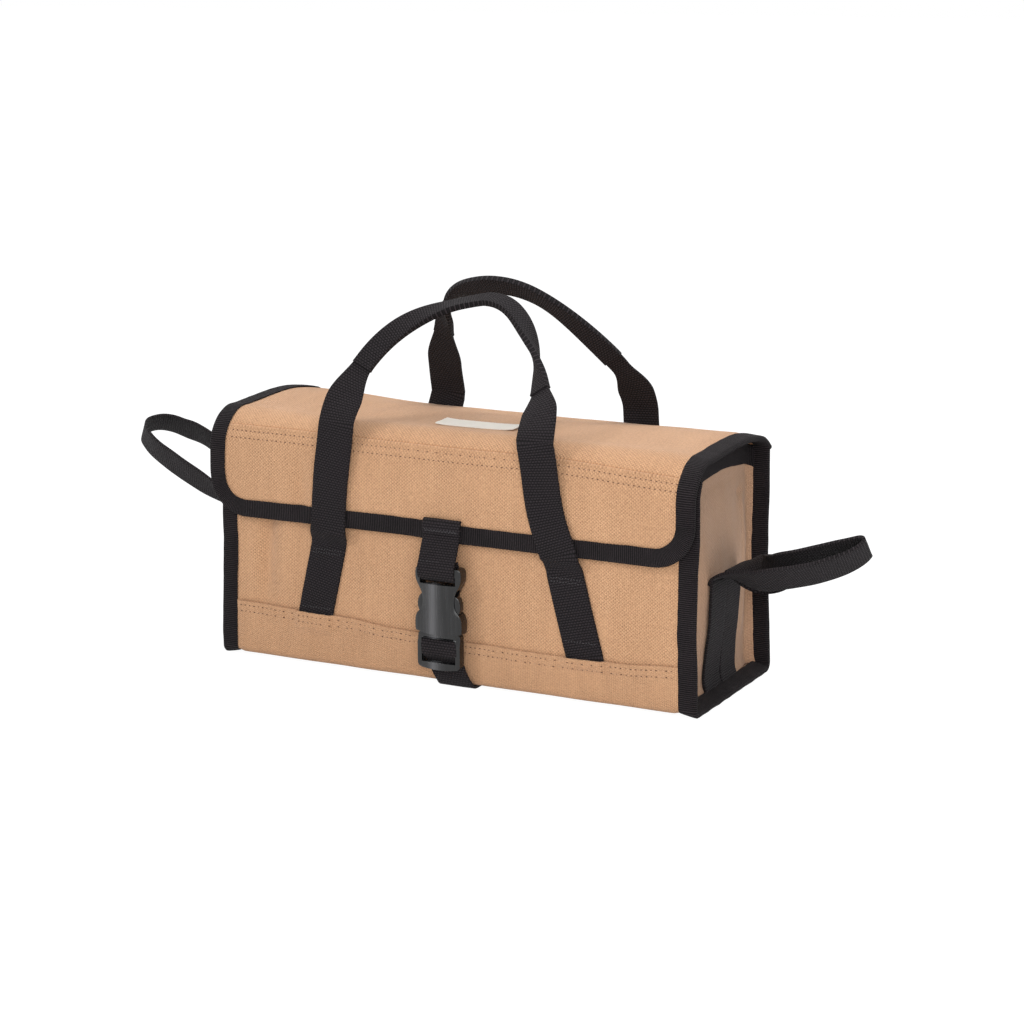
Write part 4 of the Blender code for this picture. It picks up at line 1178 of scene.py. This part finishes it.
FRONT_HANDLE = Handle(
    out=-1, sewn_shift=-2.2 * MM, sewn_y=-55.45 * MM, clear_y=-63.95 * MM, top_y=-3.15 * MM, top_x=5 * MM,
    rise=77 * MM, feet=mm(-95.8, 96.8), sewn=mm(-82.5, 86.5), bases=mm(-72.5, 67.5), powers=(1.4, 1.0),
    skews=mm(9, 13.6), bows=(((83, 0), (125, -1.8), (165, 0)), ((83, 0), (122, -3.8), (165, 0))),
    narrow_from=(0.055, 0.085), turn_from=(0.15, 0.125), necks=(0.146, 0.17), top_turn=74,
)
BACK_HANDLE = Handle(
    out=1, sewn_shift=0.0, clear_y=67.15 * MM, top_y=14.85 * MM, top_x=1 * MM,
    rise=83.5 * MM, feet=mm(-94.8, 94.8), sewn=mm(-84.5, 84.5), bases=mm(-62, 80), powers=(1.0, 1.0),
    skews=mm(8.8, 8.8), bows=(((83, 0), (165, 0)),) * 2,
    narrow_from=(0.085, 0.05), turn_from=(0.15, 0.15), necks=(0.17, 0.18), top_turn=140,
)


def agree(stations):
    """Keeps each width vector on the same side as the one before."""
    out = [stations[0]]
    for centre, half in stations[1:]:
        out.append((centre, half if half.dot(out[-1][1]) > 0 else -half))
    return out


def leg_stations(handle, side, face_of):
    stations = []
    for z in spaced(FOOT_LOW, LEG_FREE - 1 * MM, 15):
        point = handle.leg(side, z)
        point.y = face_of(point.x, z) + handle.out * STRAP_STAND
        stations.append((point, Vector((WEB / 2, 0, 0))))
    for z in spaced(LEG_FREE + 0.5 * MM, ARCH_LOW - 1 * MM, 36):
        point = handle.leg(side, z)
        if z < FLAP_LOW and handle.out < 0:
            share = step_share(z)
            point.y = (face_of(point.x, z) - STRAP_STAND) * (1 - share) + handle.lean(FLAP_LOW) * share
        stations.append((point, Vector((WEB / 2, 0, 0))))
    for k in range(1, len(stations)):
        after = stations[min(k + 1, len(stations) - 1)][0]
        forward = (after - stations[k - 1][0]).normalized()
        half = Vector((1, 0, 0)) - forward * forward.x
        stations[k] = (stations[k][0], half.normalized() * WEB / 2)
    for share in spaced(0, handle.necks[0 if side < 0 else 1] + GRIP_LAP, 26)[1:]:
        share = share if side < 0 else 1 - share
        stations.append((handle.arch(share), handle.half_width(share)))
    return agree(stations)


def grip_stations(handle):
    first, last = handle.necks[0] - GRIP_START, 1 - handle.necks[1] + GRIP_START
    return agree([(handle.arch(share), handle.half_width(share, GRIP_WIDTH)) for share in spaced(first, last, 90)])


for prefix, handle, face_of in (("front", FRONT_HANDLE, front_face), ("back", BACK_HANDLE, back_face)):
    body = prefix + "_handle"
    for name, side in SIDES:
        leg = webbing(body + "_strap_" + name, leg_stations(handle, side, face_of), STRAP_THICK, 10, wave=0.35 * MM)
        finish_piece(leg, None, (body + "_base_" + name, body + "_leg_" + name))
        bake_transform(leg)
        for row_name, height in (("top", 80.5 * MM), ("under", 78.2 * MM), ("low", 41 * MM)):
            points = []
            for k, across in enumerate(places_across(30, 11)):
                x = handle.leg(side, height).x + across
                z = height + 0.25 * MM * (1 if k % 2 else -1)
                points.append(Vector((x, face_of(x, z) + handle.out * 2.85 * MM, z)))
            row_name = body + "_stitches_" + name + "_" + row_name
            normals = [Vector((0, handle.out, 0))] * 31
            row = stitch_row(row_name, points, normals, black_thread, *mm(2.4, 1.9, 0.5), 0.3)
            finish_piece(row, "case", ())
    grip = webbing(body + "_grip_fold", grip_stations(handle), 4.0 * MM, 6)
    finish_piece(grip, prefix + "_grip", (body + "_grip",))


# End loops: two widths sewn side by side on the end, turned out into a flattened ring. Each station is its distance
# out, its y and its height in mm, the lean of its width towards the front in degrees, and how far the width turns out.
# Near the tip the width keeps to that direction, so the tip bends round like a piece of pipe.
RIGHT_RING = (
    (163.6, -4, 75.5, 90, 0), (164.2, -4, 77.6, 90, 0), (166.5, -4.2, 79.0, 86, 0), (172, -5, 79.6, 74, 0),
    (181.5, -6.8, 79.6, 58, 0), (194.2, -8.5, 80.3, 50, 0), (207.5, -9.5, 83.6, 49, 0), (220.6, -10, 87.1, 49, 0.03),
    (233.3, -10, 91.0, 50, 0.06), (243.7, -9.6, 95.4, 51, 0.08), (251.7, -9.0, 99.6, 52, 0.08),
    (257.4, -7.8, 103.4, 53, 0.08), (260.6, -6.0, 106.6, 53, 0.08), (260.8, -4.2, 108.2, 53, 0.08),
    (257.8, -3.0, 108.2, 52, 0.08), (250.8, -2.4, 105.8, 51, 0.06), (242, -2.2, 102.6, 50, 0.04),
    (231.4, -1.6, 98.7, 49, 0), (219, 0.2, 94.0, 46, 0), (210.5, 2.4, 90.2, 40, 0), (203, 5.8, 85.6, 30, 0),
    (195, 10.4, 81.0, 12, 0), (186, 15.8, 78.4, -16, 0), (178, 19.2, 79.0, -50, 0), (170.5, 21.3, 79.0, -78, 0),
    (165.5, 21.7, 78.8, -90, 0), (164, 21.7, 77.6, -90, 0), (163.6, 21.7, 75.5, -90, 0),
)
LEFT_RING = (
    (163.6, -4, 75.5, 90, 0), (164.2, -4, 78.2, 90, 0), (167.5, -4.5, 81.0, 82, 0), (175, -5.6, 85.0, 66, 0),
    (188, -7.2, 91.6, 52, 0), (207.3, -8.5, 101.3, 41, -0.3), (221.9, -9.5, 108.6, 40, -0.5),
    (231.9, -9.5, 113.6, 41, -0.6), (241.3, -9, 118.6, 43, -0.65), (251.6, -7.8, 124.2, 46, -0.68),
    (259.4, -4.6, 129.0, 48, -0.68), (264.8, -0.2, 132.6, 48, -0.68), (266.8, 5.2, 135.2, 48, -0.68),
    (265.4, 11.2, 136.6, 48, -0.68), (261.0, 16.4, 137.0, 48, -0.66), (254.2, 19.8, 135.8, 48, -0.62),
    (245.3, 21.2, 133.2, 47, -0.55), (235.2, 21, 130.9, 46, -0.45), (225, 21, 126.6, 43, -0.3), (210, 21, 118, 32, 0),
    (196, 21, 109, 8, 0), (184, 21.2, 100, -26, 0), (175, 21.5, 91.2, -58, 0), (168.5, 21.7, 84.2, -80, 0),
    (164.4, 21.7, 79.6, -90, 0), (163.8, 21.7, 77.6, -90, 0), (163.6, 21.7, 75.5, -90, 0),
)


def ring_stations(side, ring):
    places = smooth_path([Vector((side * out, y, z)) * MM for out, y, z, _, _ in ring], 5)
    leans = smooth_path([Vector((lean, turn, 0)) for _, _, _, lean, turn in ring], 5)
    stations = []
    for k, (point, lean) in enumerate(zip(places, leans)):
        forward = (places[min(k + 1, len(places) - 1)] - places[max(k - 1, 0)]).normalized()
        angle = math.radians(lean.x)
        half = Vector((side * lean.y, -math.sin(angle), math.cos(angle))).normalized()
        free = smooth_step((abs(point.x) - 212 * MM) / (26 * MM))
        half -= forward * (half.dot(forward) * (1 - free))
        across = (half - forward * half.dot(forward)).length
        stations.append((point, half * (WEB / 2 / max(across, 0.8))))
    return agree(stations)


for name, side, ring in (("left", -1, LEFT_RING), ("right", 1, RIGHT_RING)):
    loop = webbing("end_loop_strap_" + name, ring_stations(side, ring), STRAP_THICK, start=0.08, wave=0.35 * MM)
    finish_piece(loop, "loop_" + name, ("end_loop_" + name,))
    for leg_name, hand in (("front", -1), ("back", 1)):
        y = LEG_Y + hand * 12.75 * MM
        stations = []
        for z in spaced(*mm(4.6, 77.4), 28):
            out = max(side * end_face(side, y, z), side * end_face(side, y - 9 * MM, z) - 1 * MM) + 1.9 * MM
            stations.append((Vector((side * out, y, z)), Vector((0, WEB / 2, 0))))
        leg = webbing("end_loop_leg_" + leg_name + "_" + name, stations, STRAP_THICK, wave=0.25 * MM)
        finish_piece(leg, "case", ("end_loop_" + leg_name + "_leg_" + name,))

# The side-release buckle, moulded in one plane: a socket on the flap's strap, a plug frame with two sprung arms
BUCKLE_X = 0.8 * MM


def clear_selection(shape):
    for part in (shape.verts, shape.edges, shape.faces):
        for item in part:
            item.select_set(False)


def cut_slot(piece, half, near, far, low, high, round_by=0.0):
    """Cuts a block out of the piece, from near to far. Half its width, its heights and the rounding are in mm."""
    low, high = (BUCKLE_X - half * MM, near, low * MM), (BUCKLE_X + half * MM, far, high * MM)
    bpy.ops.object.select_all(action="DESELECT")
    size = [b - a for a, b in zip(low, high)]
    bpy.ops.mesh.primitive_cube_add(size=1, location=[(a + b) / 2 for a, b in zip(low, high)], scale=size)
    cutter = bpy.context.active_object
    bpy.ops.object.transform_apply(location=True, rotation=True, scale=True)
    if round_by:
        bpy.ops.object.mode_set(mode="EDIT")
        shape = bmesh.from_edit_mesh(cutter.data)
        clear_selection(shape)
        for edge in shape.edges:
            along = (edge.verts[0].co - edge.verts[1].co).normalized()
            edge.select_set(abs(along.y) > 0.9)
        shape.select_flush_mode()
        bmesh.update_edit_mesh(cutter.data)
        bpy.ops.mesh.bevel(offset=round_by * MM, segments=4, affect="EDGES")
        bpy.ops.object.mode_set(mode="OBJECT")
    taken = piece.modifiers.new("Opening", "BOOLEAN")
    taken.operation = "DIFFERENCE"
    taken.solver = "EXACT"
    taken.object = cutter
    apply_modifiers(piece)
    bpy.data.objects.remove(cutter, do_unlink=True)


def moulding(name, rows, front, depth, dome, low_curve=0.0, columns=14):
    """A moulded plate drawn down its rows of (height, left edge, right edge), its face crowned across the width."""
    bpy.ops.object.select_all(action="DESELECT")
    bpy.ops.mesh.primitive_grid_add(x_subdivisions=columns, y_subdivisions=len(rows) - 1, size=2, location=(0, 0, 0))
    piece = bpy.context.active_object
    piece.name = name
    for vertex in piece.data.vertices:
        share = vertex.co.x
        row = round((1 - vertex.co.y) / 2 * (len(rows) - 1))
        height, left, right = rows[row]
        last = max(row - (len(rows) - 4), 0) / 3
        height += low_curve * share * share * last
        x = BUCKLE_X + (left + (right - left) * (share + 1) / 2) * MM
        vertex.co = (x, front + dome * abs(share) ** 2.4, height * MM)
    bpy.ops.object.mode_set(mode="EDIT")
    bpy.ops.mesh.select_all(action="SELECT")
    bpy.ops.mesh.extrude_region_move(TRANSFORM_OT_translate={"value": (0, depth, 0)})
    bpy.ops.transform.resize(value=(1, 0, 1), center_override=(0, front + depth, 0))
    bpy.ops.mesh.select_all(action="SELECT")
    bpy.ops.mesh.normals_make_consistent(inside=False)
    bpy.ops.object.mode_set(mode="OBJECT")
    return piece


def soften(piece, width):
    bevel(piece, "Moulded edge", width, 3, 38)
    piece.modifiers["Moulded edge"].harden_normals = False
    apply_modifiers(piece)


def mirror_rows(rows):
    return [(height, -half, half) for height, half in rows]


def make_socket():
    front = BUCKLE_Y - 5 * MM
    rows = mirror_rows([
        (80.4, 13.2), (80.2, 14.4), (79.5, 15.3), (78.4, 15.9), (76.6, 16.2), (74.6, 16.2), (72.6, 16.0), (70.8, 15.5),
        (69.0, 14.7), (67.2, 13.7), (65.2, 12.6), (63.2, 11.8), (61.0, 11.3), (58.6, 11.1), (56.4, 11.2), (54.4, 11.7),
        (52.6, 12.7), (51.0, 14.0), (49.6, 15.2), (48.0, 16.0), (46.0, 16.4), (43.6, 16.5), (41.0, 16.5), (38.8, 16.4),
        (36.7, 16.2),
    ])
    socket = moulding("buckle_socket_body", rows, front, 9.6 * MM, 2.1 * MM, 1.7)
    back = front + 9.6 * MM
    cut_slot(socket, 12.6, front - 2 * MM, back + 2 * MM, 69.6, 75, 1.2)
    cut_slot(socket, 11.6, front - 2 * MM, back + 2 * MM, 78.2, 84, 1.0)
    cut_slot(socket, 11.8, front - 2 * MM, front + 3.2 * MM, 74, 80)
    cut_slot(socket, 14.2, front + 2.3 * MM, back - 1.9 * MM, 30, 66.4)
    soften(socket, 0.65 * MM)
    return socket


def make_plug():
    front = BUCKLE_Y - 3.9 * MM
    rows = mirror_rows([
        (41.0, 13.2), (39.0, 13.4), (37.4, 13.8), (36.4, 14.8), (34.6, 15.1), (30, 15.1), (26, 15.1), (22, 15.1),
        (18.4, 15.1), (16.6, 15.0), (15.2, 14.4), (14.3, 13.5), (13.6, 12.4),
    ])
    plug = moulding("buckle_plug_frame", rows, front, 6.6 * MM, 0.9 * MM, 0.9)
    cut_slot(plug, 12.0, front - 2 * MM, front + 9 * MM, 18.3, 33.8, 0.9)
    soften(plug, 0.6 * MM)
    use_only(plug)
    bpy.ops.object.mode_set(mode="EDIT")
    shape = bmesh.from_edit_mesh(plug.data)
    clear_selection(shape)
    for vertex in shape.verts:
        if 34.4 * MM < vertex.co.z < 41.2 * MM and vertex.co.y < front + 1.9 * MM:
            vertex.select_set(True)
    shape.select_flush(True)
    bmesh.update_edit_mesh(plug.data)
    bpy.ops.transform.translate(value=(0, 1.0 * MM, 0))
    bpy.ops.object.mode_set(mode="OBJECT")
    return plug


def make_tongue():
    """The plug's middle guide, seen only with the buckle open."""
    rows = mirror_rows([(58.5, 1.6), (57.5, 2.4), (55, 2.8), (50, 2.9), (45, 2.9), (40.4, 2.9)])
    tongue = moulding("buckle_plug_tongue", rows, BUCKLE_Y - 2.0 * MM, 3.6 * MM, 0.2 * MM, columns=4)
    soften(tongue, 0.5 * MM)
    return tongue


def make_arm(side):
    """A sprung arm with its finger pad standing out through the socket's waist."""
    outline = [
        (62.6, 10.4, 11.8), (61.8, 9.9, 13.1), (60.4, 9.6, 14.2), (58.4, 9.6, 14.9), (56.0, 9.6, 15.2),
        (53.6, 9.7, 15.0), (51.6, 9.9, 14.3), (50.2, 10.0, 13.4), (49.2, 10.0, 12.7), (46.0, 9.6, 12.4),
        (42.0, 9.3, 12.1), (39.0, 9.0, 12.4), (37.6, 8.6, 12.8),
    ]
    rows = [(height, low, high) if side > 0 else (height, -high, -low) for height, low, high in outline]
    name = "buckle_arm_" + ("right" if side > 0 else "left")
    arm = moulding(name, rows, BUCKLE_Y - 2.5 * MM, 4.9 * MM, 0.5 * MM, columns=6)
    soften(arm, 0.5 * MM)
    return arm


buckle = (
    (make_socket(), "flap", ("buckle_socket",)), (make_plug(), "plug", ("buckle_plug",)), (make_tongue(), "plug", ()),
    (make_arm(-1), "arm_left", ("plug_arm_left",)), (make_arm(1), "arm_right", ("plug_arm_right",)),
)
for piece, body, nodes in buckle:
    piece.data.materials.append(plastic)
    finish_piece(piece, body, nodes, 32)
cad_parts["base_board"].material_slots[0].material = stiffener


# Floor, light and camera
FLOOR_LOW = -0.4 * MM
FLOOR_GLOW = 1.18
GLOW_SHARE = 0.82
SKY_LIGHT = 0.37

bpy.ops.mesh.primitive_plane_add(size=24, location=(0, 0, FLOOR_LOW))
floor = bpy.context.active_object
floor.name = "floor"
paper = new_look("floor_paper")
paper.surface(Base_Color=(0.9, 0.9, 0.9, 1), Roughness=0.9, Specular_IOR_Level=0.1)
glow = paper.nodes.new("ShaderNodeEmission")
glow.inputs["Color"].default_value = (1, 1, 1, 1)
glow.inputs["Strength"].default_value = FLOOR_GLOW
join = paper.nodes.new("ShaderNodeMixShader")
paper.put(join.inputs["Fac"], paper.times(paper.seen_directly(), GLOW_SHARE))
paper.put(join.inputs[1], paper.shader.outputs["BSDF"])
paper.put(join.inputs[2], glow.outputs["Emission"])
paper.put(paper.nodes["Material Output"].inputs["Surface"], join.outputs["Shader"])
floor.data.materials.append(paper.owner)

world = bpy.data.worlds.new("studio")
bpy.context.scene.world = world
studio = Look(world)
sky = studio.nodes["Background"]
sky.inputs["Color"].default_value = (1, 1, 1, 1)
studio.put(sky.inputs["Strength"], studio.scaled(studio.seen_directly(), 1 - SKY_LIGHT, SKY_LIGHT))


def soft_light(name, size, power, place, target):
    lamp = bpy.data.lights.new(name, "AREA")
    lamp.shape = "RECTANGLE"
    lamp.size, lamp.size_y = size
    lamp.energy = power
    item = bpy.data.objects.new(name, lamp)
    bpy.context.scene.collection.objects.link(item)
    item.location = place
    item.rotation_euler = (Vector(target) - Vector(place)).to_track_quat("-Z", "Y").to_euler()


soft_light("key_light", (0.6, 0.5), 24, (-1.5, -2.0, 2.0), (0, 0, 0.1))
soft_light("fill_light", (0.5, 0.4), 3.9, (0.5, -0.85, 0.45), (0.1, 0, 0.1))
soft_light("top_light", (1.2, 0.9), 14.5, (0.1, 0.25, 1.5), (0.05, 0, 0.1))

AZIMUTH = math.radians(26.82)
ELEVATION = math.radians(13.0)
ROLL = math.radians(-0.19)
ahead = Vector((-math.sin(AZIMUTH), math.cos(AZIMUTH), 0)) * math.cos(ELEVATION)
ahead.z = -math.sin(ELEVATION)
right = ahead.cross(Vector((0, 0, 1))).normalized()
above = right.cross(ahead)
level = right * math.cos(ROLL) + above * math.sin(ROLL)
upright = above * math.cos(ROLL) - right * math.sin(ROLL)
camera_data = bpy.data.cameras.new("photo_camera")
camera = bpy.data.objects.new("photo_camera", camera_data)
bpy.context.scene.collection.objects.link(camera)
turn = Matrix((level, upright, -ahead)).transposed().to_4x4()
camera.matrix_world = Matrix.Translation(mm(732.8, -1410.55, 469.3)) @ turn
camera_data.lens = 88.515
camera_data.sensor_width = 36
camera_data.clip_start = 0.01
bpy.context.scene.camera = camera
bpy.context.scene.view_settings.view_transform = "Standard"
